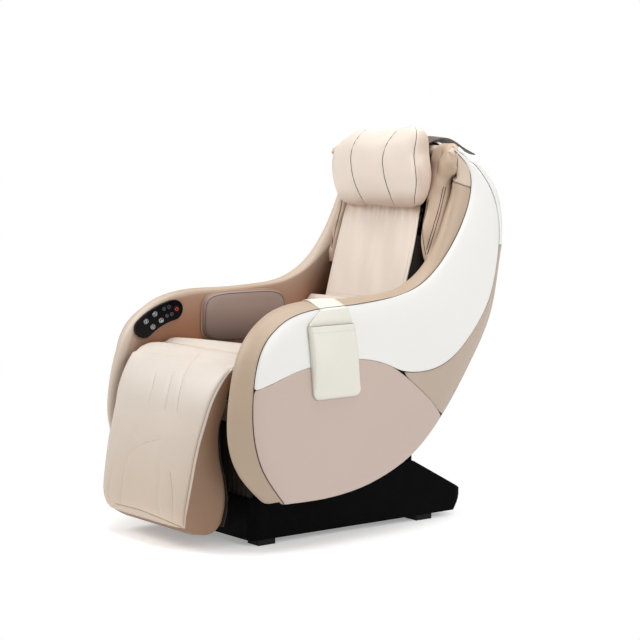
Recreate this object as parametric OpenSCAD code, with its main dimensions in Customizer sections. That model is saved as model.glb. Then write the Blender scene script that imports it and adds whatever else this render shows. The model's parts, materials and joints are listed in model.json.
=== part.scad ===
// Compact massage armchair: a rocking seat shell on a low base, with a swinging leg rest,
// a massage carriage behind the back flap, a sliding head pillow and a key panel in one arm.
// Millimetres. The sitter faces -Y, +Z is up, and the origin is the middle of the footprint.

/* [Seat shell] */
// Width of the seat cushion between the arms
seat_w = 456; // [430:2:480]
// Height of the seat's front edge above the floor
seat_h = 467; // [460:1:472]
// Thickness of an arm at the middle of its length
arm_t = 57; // [54:1:64]
// How far the padded arm roll stands out past the side seam
roll_out = 38; // [30:1:44]
// Angle by which the sides open towards the front
toe_deg = 3.4; // [2.8:0.1:4]
// Angle by which the sides lean in towards the top
lean_deg = 2.2; // [1.8:0.1:2.6]
// How far a side panel bulges past its seam
panel_crown = 16; // [8:1:22]
// Wall of the moulded side panels and rear covers
shell_t = 4; // [3:0.5:5]
// Depth of the wall that a side panel turns in at its edge
panel_return = 14; // [10:1:16]
// Thickness of the board that carries each side
side_board_t = 12; // [9:1:15]
// How far the rear cover bulges at the height of the shoulders
rear_crown = 68; // [56:1:74]

/* [Back] */
// Angle of the back from upright
back_deg = 15.5; // [14:0.5:17]
// Width of the hanging back flap
flap_w = 330; // [300:2:336]
// Thickness of the back flap
flap_t = 3; // [2:0.5:4]
// Thickness of the mesh pad over the massage rollers
liner_t = 5; // [3:0.5:5.5]
// Length of the head pillow
pillow_w = 396; // [360:2:400]
// Height of the head pillow along the back
pillow_h = 200; // [180:2:206]
// Thickness of the head pillow at its middle
pillow_t = 76; // [60:1:80]
// How far the head pillow can be moved up
pillow_travel = 40; // [20:1:45]

/* [Leg rest] */
// Radius of the padded knee roll
knee_r = 82; // [78:1:83]
// Radius of the hinge tube of the leg rest
hinge_r = 10; // [8:0.5:12]
// Thickness of the light front pad
leg_pad_t = 24; // [20:1:27]
// How far the front pad bulges between its side seams
leg_crown = 20; // [10:1:24]

/* [Massage drive] */
// Distance between the two guide rails, centre to centre
rail_gap = 234; // [220:2:240]
// Length of the guide rails
rail_l = 440; // [430:5:445]
// Width of the carriage's travel along the back
carriage_travel = 280; // [240:5:280]
// Radius of a massage roller
roller_r = 24; // [20:1:25]
// Width of a massage roller
roller_w = 26; // [20:1:30]
// Radius of the rollers' axles
axle_r = 4; // [3:0.5:5]
// Radius of the lead screw
screw_r = 8; // [6:0.5:9]
// Radius of the shaft that the massage arms rock on
knead_shaft_r = 7; // [6:0.5:8]

/* [Base] */
// Width of the base over its side walls
base_w = 432; // [424:2:440]
// Wall of the moulded base cover
base_t = 4; // [3:0.5:5]
// Height of the base's front wall
base_front_h = 115; // [100:1:118]
// Radius of the pins that the seat shell rocks on
pivot_r = 12; // [9:0.5:14]
// Height of the rocking axis above the floor
pivot_z = 300; // [296:1:304]
// Height of a rubber foot
foot_h = 14; // [10:1:18]
// Width of a rubber foot
foot_w = 46; // [36:1:50]
// Radius of the recline actuator's rod
rod_r = 9; // [7:0.5:10]
// Radius of the recline actuator's tube
actuator_r = 19; // [16:0.5:20]

/* [Controls] */
// Thickness of the key panel
panel_t = 10; // [8:0.5:13]
// Half the breadth of the key panel
panel_half = 26; // [24.5:0.5:28]
// Radius of a mode key
mode_key_r = 8; // [6:0.5:9]
// Radius of a small key
small_key_r = 5.5; // [4:0.5:6]
// Travel of a key
key_travel = 0.6; // [0.4:0.1:1]

/* [Pouch] */
// Width of the side pouch
pouch_w = 146; // [120:2:160]
// Height of the side pouch
pouch_h = 178; // [150:2:190]
// Depth of the pouch's pocket
pouch_d = 16; // [12:1:18]

/* [Hidden] */
$fn = 64;

// Gaps between pieces: at rest, round a running shaft, and at a parting line
seat_gap = 0.3;
run_gap = 0.05;
parting = 0.8;
eps = 0.01;

// The feet's midpoint lies this far in front of the footprint's middle
mid_y = 25.5;

// ---- Curves -------------------------------------------------------------------------------

function lerp(a, b, t) = a + (b - a) * t;
function unit(v) = v / norm(v);
function bump(x, n, m) = pow(max(0, 1 - pow(abs(x), n)), 1 / m);

// Smooth curve through a list of knots, t from 0 to 1
function blend4(p0, p1, p2, p3, t) =
  0.5 * (2 * p1 + (p2 - p0) * t + (2 * p0 - 5 * p1 + 4 * p2 - p3) * t * t
  + (3 * p1 - p0 - 3 * p2 + p3) * t * t * t);
function along(k, t) =
  let (n = len(k) - 1, i = min(n - 1, floor(t * n)), f = t * n - i)
  blend4(k[max(0, i - 1)], k[i], k[i + 1], k[min(n, i + 2)], f);
function curve(k, n) = [for (i = [0:n]) along(k, i / n)];

// Points of a polyline at given shares of its length, and the polyline moved sideways by d
function lengths(line) =
  [for (i = 0, c = 0; i < len(line);
    c = c + (i + 1 < len(line) ? norm(line[i + 1] - line[i]) : 0), i = i + 1) c];
function resampled(line, shares) =
  let (c = lengths(line), l = c[len(c) - 1],
    ys = [for (i = [0:len(line) - 1]) [c[i], line[i][0]]],
    zs = [for (i = [0:len(line) - 1]) [c[i], line[i][1]]])
  [for (f = shares) [lookup(f * l, ys), lookup(f * l, zs)]];
function shifted(line, d) = [for (i = [0:len(line) - 1])
  let (e = unit(line[min(len(line) - 1, i + 1)] - line[max(0, i - 1)])) line[i] + d * [-e[1], e[0]]];
// Distance of a point from a polyline
function off_line(p, line) = min([for (i = [0:len(line) - 2])
  let (a = line[i], e = line[i + 1] - a, f = min(1, max(0, (p - a) * e / (e * e)))) norm(p - a - f * e)]);

// ---- Meshes -------------------------------------------------------------------------------

function flat(l) = [for (a = l) for (b = a) b];

// Closed body from rings of points, with a point at the middle of each end
module loft(rings, flip = false) {
  n = len(rings[0]);
  m = len(rings);
  middle = function(r) [for (k = [0:2]) [for (p = r) p[k]] * [for (p = r) 1 / n]];
  points = concat(flat(rings), [middle(rings[0]), middle(rings[m - 1])]);
  faces = concat(
    [for (i = [0:m - 2]) for (j = [0:n - 1])
      [i * n + j, i * n + (j + 1) % n, (i + 1) * n + (j + 1) % n]],
    [for (i = [0:m - 2]) for (j = [0:n - 1])
      [i * n + j, (i + 1) * n + (j + 1) % n, (i + 1) * n + j]],
    [for (j = [0:n - 1]) [m * n, (j + 1) % n, j]],
    [for (j = [0:n - 1]) [m * n + 1, (m - 1) * n + j, (m - 1) * n + (j + 1) % n]]
  );
  polyhedron(points, flip ? [for (f = faces) [f[2], f[1], f[0]]] : faces, convexity = 6);
}

// Closed skin between two grids of points, an outer and an inner one
module skin(outer, inner, flip = false) {
  m = len(outer);
  n = len(outer[0]);
  o = m * n;
  rim = concat(
    [for (j = [0:n - 2]) [j, j + 1]],
    [for (i = [0:m - 2]) [i * n + n - 1, (i + 1) * n + n - 1]],
    [for (j = [n - 1:-1:1]) [(m - 1) * n + j, (m - 1) * n + j - 1]],
    [for (i = [m - 1:-1:1]) [i * n, (i - 1) * n]]
  );
  faces = concat(
    [for (i = [0:m - 2]) for (j = [0:n - 2]) [i * n + j, (i + 1) * n + j, i * n + j + 1]],
    [for (i = [0:m - 2]) for (j = [0:n - 2])
      [i * n + j + 1, (i + 1) * n + j, (i + 1) * n + j + 1]],
    [for (i = [0:m - 2]) for (j = [0:n - 2])
      [o + i * n + j, o + i * n + j + 1, o + (i + 1) * n + j]],
    [for (i = [0:m - 2]) for (j = [0:n - 2])
      [o + i * n + j + 1, o + (i + 1) * n + j + 1, o + (i + 1) * n + j]],
    [for (e = rim) [e[0], e[1], o + e[0]]],
    [for (e = rim) [e[1], o + e[1], o + e[0]]]
  );
  polyhedron(
    concat(flat(outer), flat(inner)),
    flip ? [for (f = faces) [f[2], f[1], f[0]]] : faces, convexity = 8
  );
}

// Upholstered block: a side profile (y, z) run across x, its ends rounded by r
module pad_across(profile, half_w, r, crown = 0) {
  c = [for (k = [0:1]) [for (p = profile) p[k]] * [for (p = profile) 1 / len(profile)]];
  ends = [for (a = [0:30:90]) [half_w - r + r * sin(a), r * (1 - cos(a))]];
  xs = concat([for (e = [len(ends) - 1:-1:0]) [-ends[e][0], ends[e][1]]],
    [for (f = [-0.5, 0, 0.5]) [f * (half_w - r), 0]], ends);
  loft([
    for (s = xs)
      let (lift = crown * bump(s[0] / half_w, 2, 1))
      [for (p = profile)
        let (q = p + unit(c - p) * min(s[1], norm(c - p) * 0.9))
        [s[0], q[0], q[1] + (q[1] > c[1] ? lift : 0)]]
  ]);
}

// ---- Side body ----------------------------------------------------------------------------

inner_lean = 2.6;
// The inner walls open outwards in front of this place, by this angle
flare_y = -150;
flare_deg = 4.2;
function flare(y) = max(0, flare_y - y) * tan(flare_deg);
// Distance of an arm's inner wall from the middle, at the floor
inner_x = seat_w / 2 + 1 + tan(inner_lean) * seat_h;
// Distance of the side seam's plane from the middle, at the floor
seam_x = inner_x + arm_t;

// Side outline, bottom front corner to top: over the arm, and along the underside and rear
front_knots = [
  [-275, 118], [-342, 215], [-363, 330], [-340, 470], [-275, 542], [-180, 572], [-20, 580],
  [134, 598], [236, 649], [319, 740], [366, 830], [366, 905], [306, 957]];
rear_knots = [
  [-275, 118], [-130, 117], [10, 138], [140, 190], [240, 270], [334, 383], [424, 518],
  [459, 652], [473, 745], [450, 842], [380, 920], [306, 957]];
// Lower edge of an arm's inner wall, knot for knot with the front outline
wall_knots = [
  [-250, 150], [-285, 225], [-300, 330], [-280, 410], [-245, 418], [-180, 415], [-20, 400],
  [170, 420], [285, 560], [345, 670], [388, 775], [392, 860], [360, 900]];
function front_at(t) = along(front_knots, t);
function rear_at(t) = along(rear_knots, t);
// Parting line between the upper and lower side panels, from the front seam to the rear edge
low_t = 0.204;
low_r = 0.37;
low_line = curve([
  front_at(low_t), [-310, 408], [-227, 434], [-110, 446], [-20, 445], [56, 426], [96, 404.5],
  [132, 379], [200, 325], rear_at(low_r)], 36);
fork = 24;
// Parting line between the upper and rear side panels
high_r = 0.65;
high_line = curve([
  low_line[fork], [150, 399], [206, 401], [267, 419], [323, 456], [372, 502], [416, 554],
  [445, 614], rear_at(high_r)], 32);

function front_normal(t) =
  let (d = unit(front_at(min(1, t + 0.004)) - front_at(max(0, t - 0.004)))) [-d[1], d[0]];
function rear_normal(t) =
  let (d = unit(rear_at(min(1, t + 0.004)) - rear_at(max(0, t - 0.004)))) [d[1], -d[0]];

// A point of the side's own frame, u outwards from the seam plane, in the chair's frame
function side_pt(u, p) =
  let (x1 = cos(lean_deg) * u - sin(lean_deg) * p[1])
  let (z1 = sin(lean_deg) * u + cos(lean_deg) * p[1])
  [seam_x + cos(toe_deg) * x1 - sin(toe_deg) * p[0],
    sin(toe_deg) * x1 + cos(toe_deg) * p[0], z1];
// A point of an arm's inner wall, u outwards
function wall_pt(u, p) =
  [inner_x + flare(p[0]) + cos(inner_lean) * u - sin(inner_lean) * p[1], p[0],
    sin(inner_lean) * u + cos(inner_lean) * p[1]];

module mirrored(side) {
  if (side > 0) children();
  else mirror([1, 0, 0]) children();
}
module on_side(side) mirrored(side)
  translate([seam_x, 0, 0]) rotate([0, -lean_deg, toe_deg]) children();
// The front part of an arm's inner wall, u outwards
module on_front_wall(side) mirrored(side)
  translate([inner_x, flare_y, 0]) rotate([0, -inner_lean, flare_deg])
    translate([0, -flare_y, 0]) children();

// Thickness of an arm at a place p of the side outline
function arm_t_at(p) =
  arm_t - tan(toe_deg) * p[0] + (sin(inner_lean) - sin(lean_deg)) * p[1] - flare(p[0]);
// Bulge of a side panel at a place of the side
edge_line = concat(curve(front_knots, 36), [for (i = [35:-1:0]) along(rear_knots, i / 36)]);
function bulge(p) =
  panel_crown * sqrt(1 - pow(1 - min(1, off_line(p, edge_line) / 150), 2.6));

// Stations along the front outline, shared by all pieces that meet there
side_n = 44;
grid = concat([for (i = [0:side_n]) if (i / side_n < low_t - 0.006) i / side_n], [low_t],
  [for (i = [0:side_n]) if (i / side_n > low_t + 0.006) i / side_n]);
function stations(a, b) =
  concat([a], [for (t = grid) if (t > a + 0.005 && t < b - 0.005) t], [b]);

// Panel between two lines of points, with walls turned in along the first or the second
module side_patch(first, second, wall_1, wall_2, across) {
  rows = [
    for (i = [0:len(first) - 1])
      let (a = first[i], b = second[i], w = norm(b - a), e = (b - a) / w,
        in0 = min(shell_t, w / 3))
      [a, e, w, wall_1 ? in0 : 0, wall_2 ? in0 : 0, in0]
  ];
  outer = [for (q = rows) concat(
    wall_1 ? [side_pt(-panel_return, q[0])] : [],
    [for (c = across) let (p = q[0] + q[1] * q[2] * c) side_pt(bulge(p), p)],
    wall_2 ? [side_pt(-panel_return, q[0] + q[1] * q[2])] : [])];
  inner = [for (q = rows) concat(
    wall_1 ? [side_pt(-panel_return, q[0] + q[1] * q[5])] : [],
    [for (c = across)
      let (p = q[0] + q[1] * min(q[2] - q[4], max(q[3], q[2] * c)))
      side_pt(bulge(q[0] + q[1] * q[2] * c) - shell_t, p)],
    wall_2 ? [side_pt(-panel_return, q[0] + q[1] * (q[2] - q[5]))] : [])];
  skin(outer, inner);
}
function slice(l, a, b) = [for (i = [a:b]) l[i]];
top_t = 0.985;

module side_upper(side) color("#f1efe9") mirrored(side) {
  ts = concat([low_t + 0.004], [for (t = stations(low_t, top_t)) if (t > low_t + 0.01) t]);
  edge = concat(slice(shifted(low_line, parting / 2), 0, fork - 1),
    slice(shifted(high_line, parting / 2), 1, 32),
    [for (t = [0.66:0.02:0.98]) rear_at(t)], [rear_at(top_t)]);
  side_patch([for (t = ts) front_at(t)],
    resampled(edge, [for (t = ts) (t - low_t) / (top_t - low_t)]),
    true, false, [0, 0.04, 0.12, 0.3, 0.6, 0.88, 1]);
}

module side_lower(side) color("#c9b4ab") mirrored(side) {
  ts = [for (i = [len(grid) - 1:-1:0]) if (grid[i] < low_t - 0.004) grid[i]];
  edge = concat([front_at(low_t - 0.004)], [for (t = ts) front_at(t)],
    [for (i = [1:15]) rear_at((low_r - 0.005) * i / 15)]);
  c = lengths(edge);
  side_patch(resampled(shifted(low_line, -parting / 2), [for (l = c) 0.006 + 0.982 * l / max(c)]),
    edge, false, true, [0, 0.12, 0.4, 0.7, 0.88, 0.96, 1]);
}

module side_rear(side) color("#c7ab92") mirrored(side) {
  shares = [for (i = [0:20]) 0.03 + 0.94 * i / 20];
  edge = concat(slice(shifted(low_line, parting / 2), fork + 1, 36),
    [for (t = [0.38:0.02:0.64]) rear_at(t)]);
  side_patch(resampled(shifted(high_line, -parting / 2), shares), resampled(edge, shares),
    false, false, [0, 0.25, 0.6, 1]);
}

// Board inside each side, which the panels and the arm pad are fixed to
board_out = panel_return + seat_gap;
board_in = board_out + side_board_t;
board_top = 0.86;
module board_outline() polygon(concat(
  [for (t = stations(0.03, board_top)) front_at(t) - 2.4 * front_normal(t)],
  [for (i = [len(grid) - 1:-1:0]) if (grid[i] > 0.03 && grid[i] < board_top)
    let (t = grid[i]) rear_at(t) + unit(front_at(t) - rear_at(t)) * 8]));
module side_board(side) color("#b98d5c") on_side(side) difference() {
  translate([-board_out, 0, 0]) rotate([90, 0, -90]) mirror([1, 0, 0])
    linear_extrude(side_board_t) board_outline();
  for (hole = [[-210, 270, 62], [-40, 480, 38], [150, 420, 55], [320, 600, 48]])
    translate([-board_in - 1, hole[0], hole[1]]) rotate([0, 90, 0])
      cylinder(r = hole[2], h = side_board_t + 2);
}

// ---- Arm pads -----------------------------------------------------------------------------

roll_end = 0.86;
wall_pad_t = 11;
roll_shares = [[0, 13], [0.04, 23], [0.08, 35], [0.12, 41], [0.17, 34], [0.25, 20], [0.29, 18],
  [0.333, 19], [0.417, 19], [0.5, 13], [0.583, 9], [0.65, 13], [0.722, 26], [0.788, 41], [1, 41]];
// How far the roll stands out, growing out of the underside and again towards the shoulders
function roll_out_at(t) = roll_out / 38 * lookup(t, roll_shares);
// Section of the roll from the seam inwards: low at the seam of an arm, round beside the back
arm_section = [[0, 0], [0.04, 0.1], [0.12, 0.22], [0.22, 0.37], [0.35, 0.6], [0.5, 0.83],
  [0.62, 0.95], [0.74, 1], [0.85, 0.94], [0.93, 0.78], [0.98, 0.5], [1, 0.2]];
back_section = [[0, 0], [0.02, 0.3], [0.08, 0.55], [0.18, 0.78], [0.32, 0.94], [0.5, 1],
  [0.66, 0.96], [0.8, 0.82], [0.9, 0.62], [0.96, 0.4], [0.99, 0.2], [1, 0.05]];
function roll_arc(t, h, gap) =
  let (s = front_at(t), n = front_normal(t), w = arm_t_at(s),
    f = min(1, max(0, (t - 0.52) / 0.2)))
  [for (i = [0:11])
    let (q = lerp(arm_section[i], back_section[i], f))
    side_pt(-w * q[0], s + n * (gap + h * q[1]))];
function roll_ring(t) =
  let (s = front_at(t), n = front_normal(t), k = along(wall_knots, t))
  concat(roll_arc(t, roll_out_at(t), seat_gap),
    [wall_pt(0, lerp(s, k, 0.5)), wall_pt(0, k), wall_pt(wall_pad_t, k),
      side_pt(wall_pad_t - arm_t_at(s), s + n * seat_gap)]);
module arm_pad(side) color("#c7aa8c") mirrored(side)
  loft([for (t = stations(0.012, roll_end)) roll_ring(t)]);

// Padded cushion on the inner wall of each arm
module hip_pad(side) color("#8d7a70") mirrored(side) {
  c = [-11, 514];
  half = [132, 66];
  loft([
    for (a = [0, 1, 2, 3, 4])
      let (depth = [0.4, 6, 13, 17.5, 19.5][a], grow = [0.95, 1, 0.985, 0.9, 0.62][a])
      [for (b = [0:20:340])
        wall_pt(-depth, c + [
          half[0] * grow * sign(cos(b)) * pow(abs(cos(b)), 0.45),
          half[1] * grow * sign(sin(b)) * pow(abs(sin(b)), 0.45)])]
  ], true);
}

// ---- Seat ---------------------------------------------------------------------------------

// Hinge of the leg rest, inside the knee roll
hinge_y = -298;
hinge_z = seat_h - knee_r - 2;
function around_hinge(r, a) = [hinge_y + r * cos(a), hinge_z + r * sin(a)];
pan_top = 357;
pan_t = 10;
pan_front = -205;
knee_clear = knee_r + 1;

module seat_cushion() color("#e3d3c2")
  pad_across(concat(
    [[hinge_y + 24, seat_h + 2], [-238, seat_h + 2], [-179, seat_h - 4], [-58, seat_h - 24],
      [60, seat_h - 40], [150, seat_h - 44], [196, seat_h - 36]],
    [[196, pan_top + 40], [190, pan_top + seat_gap], [0, pan_top + seat_gap],
      [hinge_y + knee_clear + 4, pan_top + seat_gap]],
    [for (a = [0:18:72]) around_hinge(knee_clear, a)]),
    seat_w / 2, 14, 5);

// ---- Back ---------------------------------------------------------------------------------

back_y = 215;
back_z = 580;
// The back's own frame: y backwards from the flap's face, z up along the back
module on_back() translate([0, back_y, back_z]) rotate([-back_deg, 0, 0]) children();
function back_pt(x, b, a) = [
  x, back_y + b * cos(back_deg) + a * sin(back_deg),
  back_z + a * cos(back_deg) - b * sin(back_deg)];

liner_b = 10;
liner_low = -138;
module lumbar_cushion() color("#c9ad90") on_back() {
  back_face = liner_b - seat_gap;
  pad_across([
    [back_face, -22], [-2, -20], [-12, -40], [-14, -90], [-8, -132], [back_face, -138]],
    seat_w / 2 - 6, 12, 0);
}

// Dark pad over the rollers, with flanges that reach back to the uprights
flange_x = 158;
module back_liner() color("#1d1a19") on_back() {
  translate([0, liner_b + liner_t, liner_low]) rotate([90, 0, 0])
    linear_extrude(liner_t) polygon([
      [-flange_x, 0], [flange_x, 0], [flange_x, 300], [146, 360], [146, 470], [120, 494],
      [-120, 494], [-146, 470], [-146, 360], [-flange_x, 300]]);
  for (side = [-1, 1]) mirrored(side) translate([0, 0, liner_low])
    linear_extrude(300) polygon([
      [flange_x, liner_b], [flange_x, 70], [190, 83.7], [190, 79], [flange_x + 3, 67],
      [flange_x + 3, liner_b]]);
}

// Padded wing beside the flap: height, inner edge x, y of the middle, half depth
wing_knots = [
  [645, 196, 276, 5], [680, 178, 281, 18], [722, 168, 285, 23], [752, 167, 291, 26],
  [790, 163, 306, 29], [830, 158, 319, 31], [878, 151, 329, 27], [905, 150, 330, 22],
  [926, 153, 327, 15], [942, 160, 327, 12], [954, 170, 329, 7], [960, 176, 331, 3]];
module shoulder_wing(side) color("#b99678") mirrored(side)
  loft([
    for (i = [0:18])
      let (
        k = along(wing_knots, i / 18),
        out = min(wall_pt(-0.6, [0, k[0]])[0], lookup(k[0], [[600, 300], [875, 209], [905, 203],
          [922, 198], [942, 196], [954, 190], [960, 186]])),
        r = max(1, (out - k[1]) / 2)
      )
      [for (b = [0:24:336])
        [out - r + r * sign(cos(b)) * pow(abs(cos(b)), 0.8), k[2] + k[3] * sin(b), k[0]]]
  ]);

// Cloth flap that hangs from under the pillow, gathered at the top
module back_flap() color("#e0cbb6") {
  top = 246;
  low = -16;
  face = function(x, a, b) let (f = (a - low) / (top - low))
    back_pt(x * (1 - 0.1 * pow(f, 4) - 0.03 * (1 - f)), b + 2.1 * f * f * (1 + cos(x * 6.4 + 40 * f))
      + 1.2 * f * (1 + cos(x * 3.1 - 30)), a);
  xs = [for (i = [-11:11]) i / 11 * flap_w / 2];
  as = [for (i = [0:9]) lerp(low, top, i / 9)];
  skin([for (a = as) [for (x = xs) face(x, a, 0)]],
    [for (a = as) [for (x = xs) face(x, a, flap_t)]], true);
}

// Padded cap on the end of each arm pad and the roll that joins them behind the pillow:
// place of its middle, radius
top_path = [[234, 343, 862, 24], [232, 343, 884, 22.5], [225, 345, 902, 19.5],
  [215, 350, 918, 18], [202, 355, 931, 17.5], [182, 360, 940, 16.5], [140, 363, 946, 16],
  [0, 365, 950, 16]];
module top_roll() color("#bf9f81") {
  path = concat(top_path, [for (i = [6:-1:0]) [-top_path[i][0], top_path[i][1], top_path[i][2],
    top_path[i][3]]]);
  n = 36;
  place = function(f) let (c = along(path, f)) [c[0], c[1], c[2]];
  loft([
    for (i = [0:n])
      let (
        c = place(i / n), r = along(path, i / n)[3],
        d = unit(place(min(1, i / n + 0.01)) - place(max(0, i / n - 0.01))),
        side = unit(cross(d, [0, 0.9, 0.1])), up = cross(side, d),
        m = 0.8 + 0.2 * min(1, 8 * min(i / n, 1 - i / n))
      )
      [for (b = [0:24:336]) c + r * sign(cos(b)) * pow(abs(cos(b)), m) * side
        + r * sign(sin(b)) * pow(abs(sin(b)), m) * up]
  ]);
}

// ---- Rear covers --------------------------------------------------------------------------

rear_to = 0.36;
// The upper cover's front edge runs back towards the middle, behind the roll
function rear_from(a) = 0.985 - 0.05 * pow(cos(a), 0.6);
// Bulge of the rear cover at a place on the rear outline
bulge_knots = [[0.16], [0.37], [0.58], [0.75], [0.84], [1], [0.9], [0.25]];
function rear_bulge(t) = rear_crown * along(bulge_knots, (t - rear_to) / (1 - rear_to))[0];
// Point of the rear cover, a from -90 at one side to 90 at the other
function rear_pt(t, a, d = 0) =
  let (
    p = rear_at(t), n = rear_normal(t), half = side_pt(0, p)[0] - parting - d,
    s = pow(abs(sin(a)), 0.87) * sign(a), c = pow(cos(a), 0.87)
  )
  [half * s, p[0] + n[0] * (rear_bulge(t) * c - d * min(1, 2 * c)),
    p[1] + n[1] * (rear_bulge(t) * c - d * min(1, 2 * c))];
// Where the upper cover ends and the lower one starts
function rear_split(a) = 0.685 + 0.02 * cos(a);
rear_angles = [-90, -84, -76, -64, -50, -34, -17, 0, 17, 34, 50, 64, 76, 84, 90];
module rear_cover(from, to, n) skin(
  [for (i = [0:n]) [for (a = rear_angles) rear_pt(lerp(from(a), to(a), i / n), a)]],
  [for (i = [0:n]) [for (a = rear_angles) rear_pt(lerp(from(a), to(a), i / n), a, shell_t)]],
  true);
module rear_cover_upper() color("#f0eee8")
  rear_cover(function(a) rear_from(a), function(a) rear_split(a), 12);
module rear_cover_lower() color("#c4a78d")
  rear_cover(function(a) rear_split(a) - 0.001, function(a) rear_to, 11);

// ---- Pillow -------------------------------------------------------------------------------

// Outline of the pillow's cushion: share along x, its top and bottom, front and rear
pillow_knots = [
  [-0.96, 935, 880, 268, 286], [-0.945, 950, 860, 260, 292], [-0.89, 966, 832, 250, 298],
  [-0.81, 976, 812, 242, 301], [-0.66, 986, 804, 233, 303], [-0.34, 1003, 803, 226, 303],
  [0, 999, 806, 222, 303], [0.34, 1004, 803, 226, 303], [0.66, 1011, 803, 233, 303],
  [0.79, 1010, 806, 240, 302], [0.88, 999, 820, 248, 300], [0.935, 972, 850, 258, 294],
  [0.955, 940, 880, 268, 287]];
pillow_z = 904;
module head_pillow() color("#dfc9b4") {
  n = 24;
  loft([
    for (i = [0:n])
      let (
        k = along(pillow_knots, 0.5 - 0.5 * cos(180 * i / n)), x = k[0] * pillow_w / 2,
        up = pillow_h / 200 * (k[1] - pillow_z), down = pillow_h / 200 * (pillow_z - k[2]),
        front = k[3] - (pillow_t - 76), mid = (front + k[4]) / 2, half = (k[4] - front) / 2
      )
      [for (b = [0:20:340])
        let (
          c = cos(b), d = sin(b),
          z = pillow_z + (c > 0 ? up : down) * sign(c) * pow(abs(c), 0.85),
          y = mid - half * sign(d) * pow(abs(d), 0.85),
          rest = back_y + (z - back_z) * tan(back_deg) - 0.1
        )
        [x, min(y, rest), z]]
  ], true);
}

// Strap that holds the pillow: up behind it and over the top of the back
strap_line = [[318, 923], [322, 948], [332, 965], [347, 972], [366, 978], [386, 981], [411, 978],
  [436, 968], [460, 955], [482, 945], [504, 936]];
module pillow_strap() color("#4a3b34") {
  strap_w = 236;
  xs = [for (i = [-4:4]) i / 8 * strap_w];
  lift = function(x, y) 7 * (1 - pow(2 * x / strap_w, 2)) * min(1, max(0, (y - 350) / 60));
  skin([for (x = xs) [for (p = strap_line) [x, p[0], p[1] + lift(x, p[0])]]],
    [for (x = xs) [for (i = [0:len(strap_line) - 1])
      let (p = strap_line[i], d = unit(strap_line[min(len(strap_line) - 1, i + 1)]
        - strap_line[max(0, i - 1)]))
      [x, p[0] + 3.5 * d[1], p[1] - 3.5 * d[0] + lift(x, p[0])]]], false);
}

// ---- Side pouch ---------------------------------------------------------------------------

// Pocket: a bag whose flat back lies on the panel, with its mouth at the top
pouch_top = 536;
pouch_wall = 2;
// Ring of the pocket at a share f down from its mouth, grown by g and deepened at the mouth
function pouch_ring(f, g, z_up = 0) =
  let (
    z = pouch_top + z_up - f * pouch_h,
    draw = 1 - pow(max(0, (f - 0.72) / 0.3), 2.2) * 0.55,
    mid = -136 + 12 * f, half = pouch_w / 2 * (0.875 + 0.06 * f) * draw + g,
    depth = (pouch_d + 2 * pouch_wall) * (0.7 + 0.3 * sin(180 * min(1, f + 0.1)))
      * (1 - pow(max(0, (f - 0.75) / 0.28), 2) * 0.75) + g,
    back = panel_crown + seat_gap - g
  )
  concat(
    [side_pt(back, [mid + half, z]), side_pt(back, [mid, z]), side_pt(back, [mid - half, z])],
    [for (a = [15:25:165]) side_pt(back + 1 + (depth - 1 + g) * pow(sin(a), 0.5),
      [mid - half * sign(cos(a)) * pow(abs(cos(a)), 0.6), z])]);
module side_pouch() color("#efece2") {
  shares = [0, 0.15, 0.35, 0.55, 0.75, 0.86, 0.94, 0.98, 1];
  difference() {
    loft([for (f = shares) pouch_ring(f, 0)]);
    loft([for (i = [0:7]) pouch_ring(shares[i], -pouch_wall, i == 0 ? 1 : 0)]);
  }
  // Strap over the arm, down the pocket's back
  back = panel_crown + seat_gap;
  columns = [for (f = [0:0.25:1]) [lerp(0.419, 0.471, f), lerp(-196, -78, f)]];
  line = function(c, d)
    let (arc = roll_arc(c[0], roll_out_at(c[0]) + 0.8 + d, seat_gap), s = front_at(c[0]))
    concat([for (i = [10:-1:1]) arc[i]],
      [for (q = [3, 9, 19]) let (p = [lerp(s[0], c[1], q / 36), s[1] - q])
        side_pt(bulge(p) + 2.6 + d, p)],
      [side_pt(back + d, [c[1], pouch_top + 2]), side_pt(back + d, [c[1], pouch_top - 24])]);
  skin([for (c = columns) line(c, 2.4)], [for (c = columns) line(c, 0.3)]);
}

// ---- Key panel ----------------------------------------------------------------------------

panel_c = [-274, 524];
panel_turn = 27;
panel_bend_r = 180;
panel_reach = 15.5;
// A place on the panel, s along its bent centre line and w across it, as (y, z)
function on_panel(s, w) =
  let (a = 90 + panel_turn - s / panel_bend_r * 180 / PI,
    r = panel_bend_r + w, c = panel_c - panel_bend_r * [cos(90 + panel_turn), sin(90 + panel_turn)])
  c + r * [cos(a), sin(a)];
module panel_outline() {
  s_end = panel_bend_r * panel_reach * PI / 180;
  polygon(concat(
    [for (i = [-8:8]) on_panel(i / 8 * s_end, panel_half)],
    [for (a = [75:-15:-75]) on_panel(s_end + panel_half * cos(a), panel_half * sin(a))],
    [for (i = [8:-1:-8]) on_panel(i / 8 * s_end, -panel_half)],
    [for (a = [-75:15:75]) on_panel(-s_end - panel_half * cos(a), panel_half * sin(a))]));
}
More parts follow.
